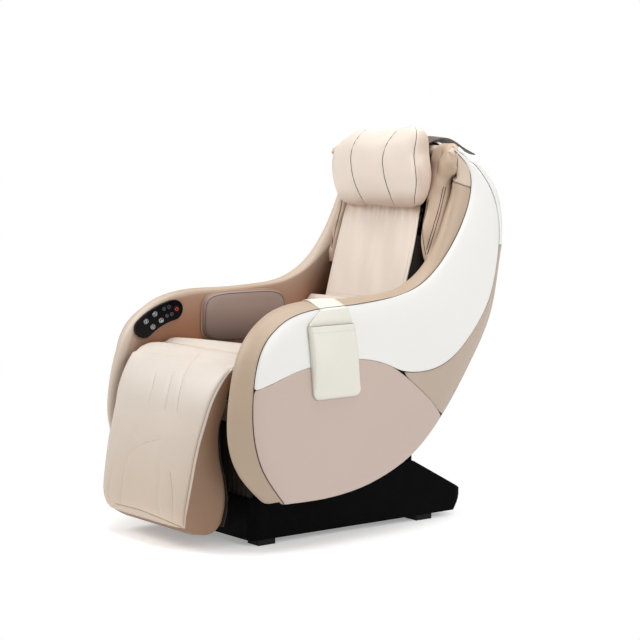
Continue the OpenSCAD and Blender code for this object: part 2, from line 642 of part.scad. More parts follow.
// Keys: name, place along and across the panel, radius
mode_places = [[-34, 11], [-5, 12], [-27, -13], [4, -12]];
small_places = [[22, 12], [36, 12], [24, -8], [39, -9]];
power_place = [56, 1];
power_key_r = mode_key_r + 1;
key_t = 3;
key_proud = 0.5;
module at_key(place) on_front_wall(-1)
  let (p = on_panel(place[0], place[1]))
  translate([-panel_t - seat_gap - key_proud, p[0], p[1]]) rotate([0, 90, 0]) children();
module key_panel() color("#0b0b0d") difference() {
  on_front_wall(-1) translate([-panel_t - seat_gap, 0, 0]) rotate([90, 0, 90])
    linear_extrude(panel_t) panel_outline();
  for (k = [0:3]) {
    at_key(mode_places[k]) cylinder(r = mode_key_r + 0.25, h = key_t + key_travel + 0.4);
    at_key(small_places[k]) cylinder(r = small_key_r + 0.25, h = key_t + key_travel + 0.4);
  }
  at_key(power_place) cylinder(r = power_key_r + 0.25, h = key_t + key_travel + 0.4);
}
module key(place, r, tint) color(tint) at_key(place) difference() {
  cylinder(r = r, h = key_t);
  translate([0, 0, -eps]) difference() {
    cylinder(r = r - 0.8, h = 0.2 + eps);
    translate([0, 0, -eps]) cylinder(r = r - 1.5, h = 0.3);
  }
}

// ---- Leg rest -----------------------------------------------------------------------------

// Front seam of the leg rest from the knee down: half breadth, y, z
leg_seam = [
  [222, -358, 435], [215, -381, 404], [208, -404, 358], [201, -420, 305], [197, -437, 248],
  [194, -450, 186], [190, -462, 121], [184, -465, 86], [172, -459, 60]];
leg_rear = [[-367, 312], [-369, 270], [-364, 215], [-352, 168], [-345, 121], [-348, 84],
  [-358, 52], [-384, 33], [-425, 36]];
leg_half = 214;
knee_open = 78;
knee_step = 19.3;

module across_x(w) rotate([90, 0, 90]) translate([0, 0, -w / 2]) linear_extrude(w) children();

// Front pad: knee roll and leg pad in one, crowned between its side seams
module legrest_pad() color("#e6d8c8") {
  seam = concat(
    [for (a = [knee_open:knee_step:knee_open + 58]) let (p = around_hinge(knee_r - 7, a)) [222, p[0], p[1]]],
    [for (i = [0:11]) along(leg_seam, i / 11)]);
  out = concat([for (a = [knee_open:knee_step:knee_open + 58]) [cos(a), sin(a)]],
    [for (i = [0:11]) let (d = unit([-1, 0.16 + 0.6 * pow(1 - i / 11, 3) - 0.5 * pow(i / 11, 6)])) d]);
  ws = [-1, -0.985, -0.94, -0.8, -0.5, 0, 0.5, 0.8, 0.94, 0.985, 1];
  last = len(seam) - 1;
  rise = function(i, w) (7 + (leg_crown - 7) * bump(i / last * 2 - 1, 3, 1)) * bump(w, 5, 2);
  face = function(i, w, d) let (s = seam[i], r = rise(i, w) * (i < 4 ? 7 / (7 + 0 * w) : 1),
    lift = i < 4 ? 7 * bump(w, 5, 2) : r)
    [w * (s[0]), s[1] + out[i][0] * (lift + d), s[2] + out[i][1] * (lift + d)];
  skin([for (i = [0:last]) [for (w = ws) face(i, w, 0)]],
    [for (i = [0:last]) [for (w = ws)
      let (s = seam[i]) [w * (s[0] - 1), s[1] - out[i][0] * (leg_pad_t - 7) * bump(w * 0.99, 12, 2),
        s[2] - out[i][1] * (leg_pad_t - 7) * bump(w * 0.99, 12, 2)]]], true);
}

leg_bars_x = 120;
bar_t = 6;
module bar_outline(grow = 0) polygon([
  [hinge_y - 8 - grow, hinge_z - 14 - grow], [-396 - grow, 312], [-400 - grow, 90 - grow],
  [-380 + grow, 90 - grow], [-378 + grow, 300], [-368, 318 - grow],
  [hinge_y + 10 + grow, hinge_z - 12 - grow], [hinge_y + 14 + grow, hinge_z + 8],
  [hinge_y + 4, hinge_z + 15 + grow], [hinge_y - 10 - grow, hinge_z + 8]]);
gearbox_r = 33;
gearbox_w = 84;
module legrest_core() color("#c3a588") difference() {
  across_x(2 * leg_half) polygon(concat(
    [for (i = [2:16]) let (s = along(leg_seam, i / 16)) [s[1] + leg_pad_t - 4.7, s[2] - 4]],
    [for (i = [8:-1:0]) leg_rear[i]],
    [for (a = [250:-20:150]) around_hinge(knee_r - leg_pad_t - 6, a)]));
  // Sides drawn in towards the foot
  for (side = [-1, 1])
    mirrored(side) translate([0, -600, 0]) rotate([-90, 0, 0]) linear_extrude(600) polygon([
        [leg_half + 40, -600], [leg_half, -440], [200, -305], [193, -121], [186, -80],
        [170, -40], [150, 0], [leg_half + 40, 0]]);
  for (side = [-1, 1]) translate([side * leg_bars_x, 0, 0])
    across_x(bar_t + 2 * seat_gap) bar_outline(seat_gap);
  translate([-232, hinge_y, hinge_z]) rotate([0, 90, 0]) cylinder(r = hinge_r + run_gap, h = 464);
  translate([-gearbox_w / 2 - 2, hinge_y, hinge_z]) rotate([0, 90, 0])
    cylinder(r = gearbox_r + 3, h = gearbox_w + 4);
}
module legrest_back() color("#3d3733") across_x(2 * 180) polygon(concat(
  [for (i = [0:6]) leg_rear[i] + [seat_gap, 0]],
  [for (i = [6:-1:0]) leg_rear[i] + [seat_gap + 5, -1]]));
module legrest_frame() color("silver") {
  translate([-231, hinge_y, hinge_z]) rotate([0, 90, 0]) difference() {
    cylinder(r = hinge_r, h = 462);
    translate([0, 0, -1]) cylinder(r = hinge_r - 2.5, h = 464);
  }
  for (side = [-1, 1]) translate([side * leg_bars_x, 0, 0]) difference() {
    across_x(bar_t) bar_outline();
    translate([-bar_t, hinge_y, hinge_z]) rotate([0, 90, 0]) cylinder(r = hinge_r, h = 2 * bar_t);
  }
}

// ---- Cradle frame -------------------------------------------------------------------------

rail_in = base_w / 2 - 11.7;
rail_out_x = rail_in + 20;
lug_t = 6;
plate_x = seat_w / 2 + 0.4;
module tube(size, at) translate(at) difference() {
  cube(size, center = true);
  cube([for (k = [0:2]) size[k] == max(size) ? size[k] + 1 : size[k] - 4], center = true);
}
// Lower end of the back uprights and the tubes that join them, in the back's frame
upright_b = [84, 109];
module cradle_frame() color("dimgray") {
  for (side = [-1, 1]) mirrored(side) {
    // Seat rail with its pivot lug and the leg rest's hinge plate
    translate([rail_in, pan_front, 317]) difference() {
      cube([20, 467, 30]);
      translate([2, -1, 2]) cube([16, 464, 26]);
    }
    difference() {
      union() {
        translate([rail_in, 0, pivot_z]) rotate([0, 90, 0]) cylinder(r = pivot_r + 14, h = lug_t);
        translate([rail_in, 0, 317]) rotate([90, 0, 90]) linear_extrude(lug_t)
          polygon([[-60, 8], [-pivot_r - 13, -17], [pivot_r + 13, -17], [60, 8]]);
      }
      translate([rail_in - 1, 0, pivot_z]) rotate([0, 90, 0])
        cylinder(r = pivot_r + run_gap, h = lug_t + 2);
      translate([rail_in + 2, -70, 319]) cube([30, 140, 26]);
    }
    translate([rail_out_x - 1, -200, 319]) cube([plate_x - rail_out_x + 2, 78, 26]);
    difference() {
      translate([plate_x, 0, 0]) rotate([90, 0, 90]) linear_extrude(3.4) union() {
        polygon([[-120, 317], [-120, 347], [hinge_y + 6, hinge_z + 17],
          [hinge_y - 8, hinge_z - 15], [-190, 317]]);
        translate([hinge_y, hinge_z]) circle(r = hinge_r + 8);
      }
      translate([plate_x - 1, hinge_y, hinge_z]) rotate([0, 90, 0])
        cylinder(r = hinge_r + run_gap, h = 7);
    }
    // Stubs that carry the side board
    intersection() {
      union() for (y = [-180, 175]) translate([rail_out_x, y - 12, 320]) cube([60, 24, 24]);
      translate([seam_x, 0, 0]) rotate([0, -lean_deg, toe_deg])
        translate([-board_in - seat_gap - 200, -400, 0]) cube([200, 900, 900]);
    }
  }
  for (y = [-192.5, 187.5]) tube([2 * (rail_in - seat_gap), 25, 25], [0, y, 330]);
  // Seat board
  translate([-192, pan_front, pan_top - pan_t]) cube([384, 390, pan_t]);
  // Back uprights with their cross tubes
  on_back() {
    for (side = [-1, 1]) mirrored(side)
      translate([rail_in - seat_gap - 21, upright_b[0], -232]) difference() {
        cube([21, 25, 560]);
        translate([2, 2, -1]) cube([17, 21, 562]);
      }
    for (a = [-172, 70, 262]) tube([2 * (rail_in - 21 - 2 * seat_gap), 20, 20], [0, upright_b[0] + 10 + seat_gap, a]);
  }
  // Clevis for the recline actuator under the front tube
  for (side = [-1, 1]) difference() {
    translate([side * 15 - 3, 0, 0]) rotate([90, 0, 90]) linear_extrude(6)
      polygon([[-200, 317.5 - seat_gap], [-180, 317.5 - seat_gap], [rod_y + 9, rod_z - 4], [rod_y - 2, rod_z - 9],
        [rod_y - 9, rod_z]]);
    translate([side * 15 - 4, rod_y, rod_z]) rotate([0, 90, 0]) cylinder(r = 5, h = 8);
  }
  translate([-20, rod_y, rod_z]) rotate([0, 90, 0]) cylinder(r = 5, h = 40);
}

// ---- Base ---------------------------------------------------------------------------------

base_front = -298;
base_rear = 382;
base_low = 14;
rear_low = 348;
tower = [-120, 212];
tower_h = 178;
module base_profile(i = 0) polygon([
  [base_front + i, base_low - (i > 0 ? 5 : 0)], [base_front + i + 4, base_front_h - i],
  [tower[0] + i, base_front_h - i], [tower[0] + 30 + i, tower_h - i], [tower[1] - i, tower_h - i],
  [tower[1] - i, 158 - i], [base_rear - i, 65 - 0.9 * i], [rear_low - i, base_low - (i > 0 ? 5 : 0)]]);
module base_plan(i = 0) {
  w = base_w / 2 - i;
  r = 28 - i;
  polygon(concat(
    [for (a = [0:15:90]) [w - r + r * cos(a), base_rear - i - r + r * sin(a)]],
    [for (a = [90:15:180]) [-w + r + r * cos(a), base_rear - i - r + r * sin(a)]],
    [for (a = [180:15:270]) [-w + r + r * cos(a), base_front + i + r + r * sin(a)]],
    [for (a = [270:15:360]) [w - r + r * cos(a), base_front + i + r + r * sin(a)]]));
}
module base_solid(i = 0) intersection() {
  across_x(base_w) base_profile(i);
  linear_extrude(200) base_plan(i);
  union() {
    translate([-base_w / 2, base_front, 0]) cube([base_w, 700, 158 - i]);
    translate([-208 + i, base_front, 0]) cube([416 - 2 * i, 700, 200]);
  }
}
upright_x = rail_in - 8;
upright_t = 6;
inlet_x = -120;
switch_x = -62;
module base_shell() color("#0d0d0e") {
  difference() {
    base_solid();
    base_solid(base_t);
    for (side = [-1, 1]) translate([side * (upright_x + upright_t / 2) - 5, -46, 100])
      cube([10, 92, 100]);
    translate([-34, -150, 100]) cube([68, 228, 100]);
    on_base_rear() {
      translate([inlet_x - 24, -14, -10]) cube([48, 28, 30]);
      translate([switch_x - 10.4, -14.4, -10]) cube([20.8, 28.8, 30]);
      for (i = [-3:3]) translate([70 + 16 * i, -14, -10]) cube([6, 28, 30]);
    }
  }
  // Stiffening ribs under the cover
  for (x = [-24, 90]) translate([x, 0, 0]) intersection() {
    across_x(3) base_profile(base_t / 2);
    translate([-2, 225, 60]) cube([4, 150, 60]);
  }
}
// Frame of the base's sloping rear wall, z out of it
rear_wall_deg = atan2(base_rear - rear_low, 65 - base_low);
module on_base_rear() translate([0, (base_rear + rear_low) / 2, (65 + base_low) / 2])
  rotate([-90 - rear_wall_deg, 0, 0]) children();

module base_frame() color("#3a3a3c") {
  for (side = [-1, 1]) {
    tube([20, 610, 30], [side * (upright_x - 10), 25, 35]);
    mirrored(side) difference() {
      translate([upright_x, 0, 0]) rotate([90, 0, 90]) linear_extrude(upright_t) union() {
        polygon([[-44, 20], [44, 20], [pivot_r + 13, pivot_z], [-pivot_r - 13, pivot_z]]);
        translate([0, pivot_z]) circle(r = pivot_r + 13);
      }
      translate([upright_x - 1, 0, pivot_z]) rotate([0, 90, 0])
        cylinder(r = pivot_r + 0.02, h = upright_t + 2);
    }
  }
  for (y = [-240, 112, 240]) tube([2 * upright_x - 40, 30, 20], [0, y, 35]);
  // Bracket of the recline actuator
  for (side = [-1, 1]) difference() {
    translate([side * 28 - 3, 0, 0]) rotate([90, 0, 90]) linear_extrude(6)
      polygon([[motor_y - 14, motor_z + 14], [motor_y + 14, motor_z + 14], [235, 45], [235, 26],
        [motor_y - 30, 26]]);
    translate([side * 28 - 4, motor_y, motor_z]) rotate([0, 90, 0]) cylinder(r = 6.02, h = 8);
  }
  translate([-31, 200, 26]) cube([62, 25.5, 6]);
}
module tilt_pivots() color("silver") for (side = [-1, 1]) mirrored(side)
  translate([upright_x - 5, 0, pivot_z]) rotate([0, 90, 0]) {
    cylinder(r = pivot_r + 6, h = 5);
    cylinder(r = pivot_r, h = rail_in + lug_t - upright_x + 8);
    translate([0, 0, rail_in + lug_t - upright_x + 5.3]) cylinder(r = pivot_r + 5, h = 3);
  }
module rubber_feet() color("#151515") for (side = [-1, 1]) for (y = [-250, 250])
  translate([side * (base_w / 2 - foot_w / 2 - 2), y, 0]) {
    translate([-foot_w / 2, -25, 0]) cube([foot_w, 50, foot_h - seat_gap]);
    translate([-side * 8, 0, 0]) cylinder(r = 7, h = 20 - eps);
  }
module power_inlet() color("#1b1b1d") on_base_rear() translate([inlet_x, 0, 0]) difference() {
  union() {
    translate([-23.7, -13.7, -12]) cube([47.4, 27.4, 14]);
    translate([-28, -18, 0.3]) cube([56, 36, 2]);
  }
  translate([-12, -8.5, -8]) cube([24, 17, 12]);
}
module power_switch() color("#222224") on_base_rear() translate([switch_x, 0, 0]) {
  rotate([6, 0, 0]) translate([-9.5, -13, -1]) cube([19, 26, 4]);
  translate([-9.5, 0, 0]) rotate([0, 90, 0]) cylinder(r = 4, h = 19);
}
module control_box() color("#55585c") translate([-160, 102, 45 + seat_gap]) difference() {
  cube([110, 150, 45]);
  translate([3, 3, 3]) cube([104, 144, 45]);
}
// Pleated fabric that closes the front, between the base and the seat
skirt_y = -286;
skirt_top = 292;
module dust_skirt() color("#3b3836") translate([0, skirt_y, base_front_h + seat_gap])
  linear_extrude(skirt_top - base_front_h) polygon(concat(
    [for (i = [-20:20]) [i * 10, (i % 2 == 0 ? -4 : 4) - 1]],
    [for (i = [20:-1:-20]) [i * 10, (i % 2 == 0 ? -4 : 4) + 1]]));

// ---- Recline actuator ---------------------------------------------------------------------

// Pivots of the actuator: on the base's bracket and under the seat
motor_y = 130;
motor_z = 78;
rod_y = -160;
rod_z = 306;
rod_dir = [rod_y - motor_y, rod_z - motor_z];
rod_len = norm(rod_dir);
rod_deg = atan2(rod_dir[1], rod_dir[0]);
module on_actuator() translate([0, motor_y, motor_z]) rotate([rod_deg, 0, 0])
  rotate([-90, 0, 0]) children();
tube_l = 250;
module recline_motor() color("#2b2d30") on_actuator() difference() {
  union() {
    translate([0, 0, 10]) cylinder(r = actuator_r, h = tube_l);
    rotate([0, 90, 0]) translate([0, 0, -24.5]) cylinder(r = 14, h = 49);
    translate([-10, -10, 0]) cube([20, 20, 20]);
    rotate([0, 90, 0]) translate([0, 0, -34]) cylinder(r = 5.97, h = 68);
    translate([0, 0, 40]) rotate([0, 0, 90]) translate([0, 0, -16]) cube([26, 26, 32], center = false);
  }
  translate([0, 0, 40]) cylinder(r = rod_r + run_gap, h = tube_l);
}
module recline_rod() color("silver") on_actuator() difference() {
  union() {
    translate([0, 0, 130]) cylinder(r = rod_r, h = rod_len - 130);
    translate([0, 0, rod_len]) rotate([0, 90, 0]) translate([0, 0, -9]) cylinder(r = 12, h = 18);
  }
  translate([0, 0, rod_len]) rotate([0, 90, 0]) translate([0, 0, -10]) cylinder(r = rod_eye_r, h = 20);
}
rod_eye_r = 6.5;

// ---- Massage drive ------------------------------------------------------------------------

rail_low = -165;
rail_b = [58, 84];
carriage_a = -60;
channel_w = 24;
module guide_rails() color("silver") on_back() for (side = [-1, 1]) mirrored(side)
  translate([rail_gap / 2 - channel_w / 2, rail_b[0], rail_low]) difference() {
    cube([channel_w, rail_b[1] + 0 - rail_b[0], rail_l]);
    translate([-1, 4, -1]) cube([channel_w - 3, rail_b[1] - rail_b[0] - 8, rail_l + 2]);
  }
screw_b = 71;
screw_low = rail_low + 7;
screw_top = rail_low + rail_l - 4;
lift_b = 112;
module lead_screw() color("#9a9ca0") on_back()
  translate([0, screw_b, screw_low]) cylinder(r = screw_r, h = screw_top - screw_low);
module lift_motor() color("#2f3236") on_back() {
  // Belt case under the screw with the motor on it, and the bearing at the screw's top
  case_top = rail_low + 17;
  difference() {
    translate([-18, screw_b - 14, -162 + seat_gap]) cube([36, lift_b - screw_b + 32, case_top + 162]);
    translate([0, screw_b, screw_low - 0.5]) cylinder(r = screw_r + run_gap, h = 60);
  }
  translate([0, lift_b, case_top - 1]) cylinder(r = 20, h = 72);
  difference() {
    translate([-22, screw_b - 14, screw_top - 15]) cube([44, 27 - seat_gap, 14]);
    translate([0, screw_b, screw_top - 16]) cylinder(r = screw_r + run_gap, h = 16);
  }
}
module massage_carriage() color("#46494e") on_back() translate([0, 0, carriage_a]) difference() {
  union() {
    // Plate, nut round the lead screw and guide blocks in the rails
    translate([-98, 60, -18]) cube([196, 4, 36]);
    translate([-44, 60, -34]) cube([88, 4, 68]);
    translate([-18, 60, -20]) cube([36, 23, 40]);
    for (side = [-1, 1]) mirrored(side) {
      translate([rail_gap / 2 - 24, 60, -18]) cube([11, 19.5, 36]);
      translate([rail_gap / 2 - 13.5, 62.5, -28]) cube([19, 17, 56]);
      translate([72, 36, -14]) cube([12, 25, 28]);
    }
    // Motor housing, and the shaft that the arms rock on
    translate([-30, 34, -32]) cube([60, 27, 64]);
    translate([-84, axle_b, 0]) rotate([0, 90, 0]) cylinder(r = knead_shaft_r, h = 168);
  }
  translate([0, screw_b, -50]) cylinder(r = screw_r + 0.3, h = 100);
}
// Rocking arm with two roller axles
arm_x = 56;
arm_reach = 46;
axle_b = 44;
module massage_arm(side) color("#7a7d82") on_back()
  translate([side * arm_x, axle_b, carriage_a]) rotate([0, 90, 0]) difference() {
    union() {
      translate([0, 0, -5]) cylinder(r = 14, h = 10);
      translate([-arm_reach, -7, -5]) cube([2 * arm_reach, 14, 10]);
      for (e = [-1, 1]) translate([e * arm_reach, 0, 0]) {
        translate([0, 0, -5]) cylinder(r = 8, h = 10);
        translate([0, 0, side > 0 ? 4 : -roller_w - 10]) cylinder(r = axle_r, h = roller_w + 6);
        translate([0, 0, side > 0 ? roller_w + 8.6 : -roller_w - 10.6]) cylinder(r = axle_r + 3, h = 2);
      }
    }
    translate([0, 0, -6]) cylinder(r = knead_shaft_r + run_gap, h = 12);
  }
module roller(side, end) color("#e8e2d8") on_back()
  translate([side * (arm_x + 7 + roller_w / 2), axle_b, carriage_a + end * arm_reach])
  rotate([0, 90, 0]) rotate_extrude() polygon(concat(
    [[axle_r + run_gap, -roller_w / 2], [axle_r + run_gap, roller_w / 2]],
    [for (a = [75:-15:-75]) [roller_r - 7 + 7 * cos(a), (roller_w / 2 - 7) * (a > 0 ? 1 : -1) * (a == 0 ? 0 : 1) + 7 * sin(a)]]));

// Gearmotor that turns the leg rest's hinge tube
module leg_gearmotor() color("#33363a") difference() {
  union() {
    translate([-gearbox_w / 2, hinge_y, hinge_z]) rotate([0, 90, 0]) cylinder(r = gearbox_r, h = gearbox_w);
    across_x(40) polygon([[hinge_y + 10, hinge_z - 26], [hinge_y + 26, hinge_z - 4],
      [-205 - seat_gap, 345], [-205 - seat_gap, 320]]);
  }
  translate([-gearbox_w, hinge_y, hinge_z]) rotate([0, 90, 0])
    cylinder(r = hinge_r + run_gap, h = 2 * gearbox_w);
}

// ---- Assembly -----------------------------------------------------------------------------

module at_origin() translate([0, -mid_y, 0]) children();

at_origin() base_shell();
at_origin() base_frame();
at_origin() rubber_feet();
at_origin() power_inlet();
at_origin() power_switch();
at_origin() control_box();
at_origin() dust_skirt();
at_origin() tilt_pivots();
at_origin() recline_motor();
at_origin() recline_rod();
at_origin() cradle_frame();
at_origin() side_board(1);  // side_board_left
at_origin() side_board(-1);  // side_board_right
at_origin() side_upper(1);  // side_upper_left
at_origin() side_upper(-1);  // side_upper_right
at_origin() side_lower(1);  // side_lower_left
at_origin() side_lower(-1);  // side_lower_right
at_origin() side_rear(1);  // side_rear_left
at_origin() side_rear(-1);  // side_rear_right
at_origin() arm_pad(1);  // arm_pad_left
at_origin() arm_pad(-1);  // arm_pad_right
at_origin() hip_pad(1);  // hip_pad_left
at_origin() hip_pad(-1);  // hip_pad_right
at_origin() seat_cushion();
at_origin() lumbar_cushion();
at_origin() shoulder_wing(1);  // shoulder_wing_left
at_origin() shoulder_wing(-1);  // shoulder_wing_right
at_origin() back_liner();
at_origin() back_flap();
at_origin() top_roll();
at_origin() rear_cover_upper();
at_origin() rear_cover_lower();
at_origin() pillow_strap();
at_origin() side_pouch();
at_origin() key_panel();
at_origin() guide_rails();
at_origin() lead_screw();
at_origin() lift_motor();
at_origin() leg_gearmotor();
at_origin() massage_carriage();
at_origin() massage_arm(1);  // massage_arm_left
at_origin() massage_arm(-1);  // massage_arm_right
at_origin() roller(1, 1);  // roller_upper_left
at_origin() roller(-1, 1);  // roller_upper_right
at_origin() roller(1, -1);  // roller_lower_left
at_origin() roller(-1, -1);  // roller_lower_right
at_origin() legrest_frame();
at_origin() legrest_pad();
at_origin() legrest_core();
at_origin() legrest_back();
at_origin() head_pillow();
at_origin() key(power_place, power_key_r, "#a8262a");  // key_power
at_origin() key(mode_places[0], mode_key_r, "#2a2c30");  // key_mode_1
at_origin() key(mode_places[1], mode_key_r, "#2a2c30");  // key_mode_2
at_origin() key(mode_places[2], mode_key_r, "#2a2c30");  // key_mode_3
at_origin() key(mode_places[3], mode_key_r, "#2a2c30");  // key_mode_4
at_origin() key(small_places[0], small_key_r, "#2a2c30");  // key_small_1
at_origin() key(small_places[1], small_key_r, "#2a2c30");  // key_small_2
at_origin() key(small_places[2], small_key_r, "#2a2c30");  // key_small_3
at_origin() key(small_places[3], small_key_r, "#2a2c30");  // key_small_4
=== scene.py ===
import json
import bmesh
import bpy
from math import cos, degrees, exp, hypot, pi, radians, sin, sqrt, tan
from mathutils import Matrix, Vector, noise
from mathutils.bvhtree import BVHTree
from mathutils.kdtree import KDTree


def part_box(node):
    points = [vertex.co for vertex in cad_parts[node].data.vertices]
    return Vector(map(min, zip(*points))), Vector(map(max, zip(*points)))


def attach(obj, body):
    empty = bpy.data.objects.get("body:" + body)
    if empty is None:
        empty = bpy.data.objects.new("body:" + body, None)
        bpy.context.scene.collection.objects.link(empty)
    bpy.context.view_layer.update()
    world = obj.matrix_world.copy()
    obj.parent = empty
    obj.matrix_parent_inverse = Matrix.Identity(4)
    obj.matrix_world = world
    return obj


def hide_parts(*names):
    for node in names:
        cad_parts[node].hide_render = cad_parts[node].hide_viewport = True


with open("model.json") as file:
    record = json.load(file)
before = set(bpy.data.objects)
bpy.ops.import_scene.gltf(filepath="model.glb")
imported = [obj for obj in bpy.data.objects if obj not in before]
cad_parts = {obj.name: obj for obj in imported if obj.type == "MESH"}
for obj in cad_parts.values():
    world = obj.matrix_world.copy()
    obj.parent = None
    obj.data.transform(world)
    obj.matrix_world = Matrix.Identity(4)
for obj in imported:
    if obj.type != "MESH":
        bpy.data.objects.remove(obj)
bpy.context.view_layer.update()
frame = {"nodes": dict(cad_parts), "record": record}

NODES = frame["nodes"]
scene = bpy.context.scene
scene.view_settings.view_transform = "Standard"

# ---- Camera ----

# The frame's width and the focal length are in pixels, the camera's place in metres
AZ, EL = radians(52.664), radians(5.596)
CAM = Vector((3.865685, -2.899158, 0.988187))
FRAME_W, FOCAL = 640, 1884.0
cam_back = Vector((sin(AZ) * cos(EL), -cos(AZ) * cos(EL), sin(EL)))
cam_right = Vector((cos(AZ), sin(AZ), 0))
cam_up = cam_back.cross(cam_right)
camera_data = bpy.data.cameras.new("camera")
camera_data.sensor_width = 36
camera_data.lens = camera_data.sensor_width * FOCAL / FRAME_W
camera_data.clip_end = 60
camera = bpy.data.objects.new("camera", camera_data)
scene.collection.objects.link(camera)
camera.matrix_world = Matrix.Translation(CAM) @ Matrix((cam_right, cam_up, cam_back)).transposed().to_4x4()
scene.camera = camera


def view_ray(px, py):
    """Direction from the camera through a place of the frame."""
    mid = FRAME_W / 2
    return (cam_right * (px - mid) / FOCAL - cam_up * (py - mid) / FOCAL - cam_back).normalized()


# ---- Forms shared with the CAD source, in millimetres ----

SEAT_W, SEAT_H, ARM_T = 456, 467, 57
TOE, LEAN, INNER_LEAN, FLARE = radians(3.4), radians(2.2), radians(2.6), radians(4.2)
FLARE_Y, PANEL_CROWN, GAP, MID_Y = -150, 16, 0.3, 25.5
BACK = radians(15.5)
SIDES = ((1, "left"), (-1, "right"))
INNER_X = SEAT_W / 2 + 1 + tan(INNER_LEAN) * SEAT_H
SEAM_X = INNER_X + ARM_T
# Outlines in the side's plane: the shell's front edge, its rear edge and the arm's inner wall
FRONT = [(-275, 118), (-342, 215), (-363, 330), (-340, 470), (-275, 542), (-180, 572), (-20, 580),
         (134, 598), (236, 649), (319, 740), (366, 830), (366, 905), (306, 957)]
REAR = [(-275, 118), (-130, 117), (10, 138), (140, 190), (240, 270), (334, 383), (424, 518),
        (459, 652), (473, 745), (450, 842), (380, 920), (306, 957)]
WALL = [(-250, 150), (-285, 225), (-300, 330), (-280, 410), (-245, 418), (-180, 415), (-20, 400),
        (170, 420), (285, 560), (345, 670), (388, 775), (392, 860), (360, 900)]
# How far the roll stands out along the front edge, and its cross-sections at the arm and at the back
ROLL = [(0, 13), (0.04, 23), (0.08, 35), (0.12, 41), (0.17, 34), (0.25, 20), (0.29, 18), (0.333, 19),
        (0.417, 19), (0.5, 13), (0.583, 9), (0.65, 13), (0.722, 26), (0.788, 41), (1.2, 41)]
ARM_ARC = [(0, 0), (0.04, 0.1), (0.12, 0.22), (0.22, 0.37), (0.35, 0.6), (0.5, 0.83), (0.62, 0.95),
           (0.74, 1), (0.85, 0.94), (0.93, 0.78), (0.98, 0.5), (1, 0.2)]
BACK_ARC = [(0, 0), (0.02, 0.3), (0.08, 0.55), (0.18, 0.78), (0.32, 0.94), (0.5, 1), (0.66, 0.96),
            (0.8, 0.82), (0.9, 0.62), (0.96, 0.4), (0.99, 0.2), (1, 0.05)]


def mm(p):
    """A place of the source's own frame, in the row frame in metres."""
    return Vector((p[0] / 1000, (p[1] - MID_Y) / 1000, p[2] / 1000))


def lerp(a, b, t):
    """The value a share t of the way from a to b."""
    return a + (b - a) * t


def smooth(t):
    """A soft step from 0 to 1."""
    t = min(1, max(0, t))
    return t * t * (3 - 2 * t)


def bent(v, power):
    """v to a power, its sign kept."""
    return abs(v) ** power * (1 if v > 0 else -1)


def round_about(n):
    """Cosine and sine of n even turns."""
    return [(cos(2 * pi * k / n), sin(2 * pi * k / n)) for k in range(n)]


def ripple(x, y, layer):
    """Soft chance waves over a plane; each layer has its own."""
    return noise.noise(Vector((x, y, layer)))


def along(knots, t):
    """A smooth curve through knots, t from 0 to 1."""
    n = len(knots) - 1
    i = max(0, min(n - 1, int(t * n)))
    f = t * n - i
    q = [knots[max(0, min(n, i + k))] for k in (-1, 0, 1, 2)]
    return [0.5 * (2 * b + (c - a) * f + (2 * a - 5 * b + 4 * c - d) * f * f + (3 * b - a - 3 * c + d) * f ** 3)
            for a, b, c, d in zip(*q)]


def lookup(t, table):
    """Straight steps between the rows of a table."""
    if t <= table[0][0]:
        return table[0][1]
    for (a, u), (b, v) in zip(table, table[1:]):
        if t <= b:
            return lerp(u, v, (t - a) / (b - a))
    return table[-1][1]


def normal_at(knots, t):
    """The outward direction of a curve of knots."""
    a, b = along(knots, max(0, t - 0.004)), along(knots, min(1, t + 0.004))
    n = hypot(b[0] - a[0], b[1] - a[1])
    return (-(b[1] - a[1]) / n, (b[0] - a[0]) / n)


def side_pt(u, p):
    """A place u outside the side shell's seam plane, which leans and toes in."""
    x1 = cos(LEAN) * u - sin(LEAN) * p[1]
    z1 = sin(LEAN) * u + cos(LEAN) * p[1]
    return (SEAM_X + cos(TOE) * x1 - sin(TOE) * p[0], sin(TOE) * x1 + cos(TOE) * p[0], z1)


def wall_pt(u, p):
    """A place u outside the arm's inner wall."""
    flare = max(0, FLARE_Y - p[0]) * tan(FLARE)
    return (INNER_X + flare + cos(INNER_LEAN) * u - sin(INNER_LEAN) * p[1], p[0],
            sin(INNER_LEAN) * u + cos(INNER_LEAN) * p[1])


def arm_t_at(p):
    """The arm's thickness between the inner wall and the seam plane."""
    flare = max(0, FLARE_Y - p[0]) * tan(FLARE)
    return ARM_T - tan(TOE) * p[0] + (sin(INNER_LEAN) - sin(LEAN)) * p[1] - flare


def roll_out(t):
    """The roll's height over the front edge, its steps evened out."""
    return sum(lookup(t + d, ROLL) for d in (-0.024, -0.012, 0, 0.012, 0.024)) / 5


def roll_pt(t, q, h):
    """A place on an arm's roll h high: t along the outline, q from the side seam inwards."""
    s, n = along(FRONT, min(t, 1)), normal_at(FRONT, t)
    w = arm_t_at(s) * (1 + 0.24 * exp(-((t - 0.785) / 0.065) ** 2) * smooth((q - 0.3) / 0.5))
    f = smooth((t - 0.5) / 0.24)
    a, b = along(ARM_ARC, q), along(BACK_ARC, q)
    up = GAP + h * lerp(a[1], b[1], f)
    return side_pt(-w * lerp(a[0], b[0], f), (s[0] + n[0] * up, s[1] + n[1] * up))


def back_pt(x, b, a):
    """A place a up the sloping back and b behind its face."""
    return (x, 215 + b * cos(BACK) + a * sin(BACK), 580 + a * cos(BACK) - b * sin(BACK))


EDGE = [along(FRONT, i / 36) for i in range(37)] + [along(REAR, i / 36) for i in range(35, -1, -1)]


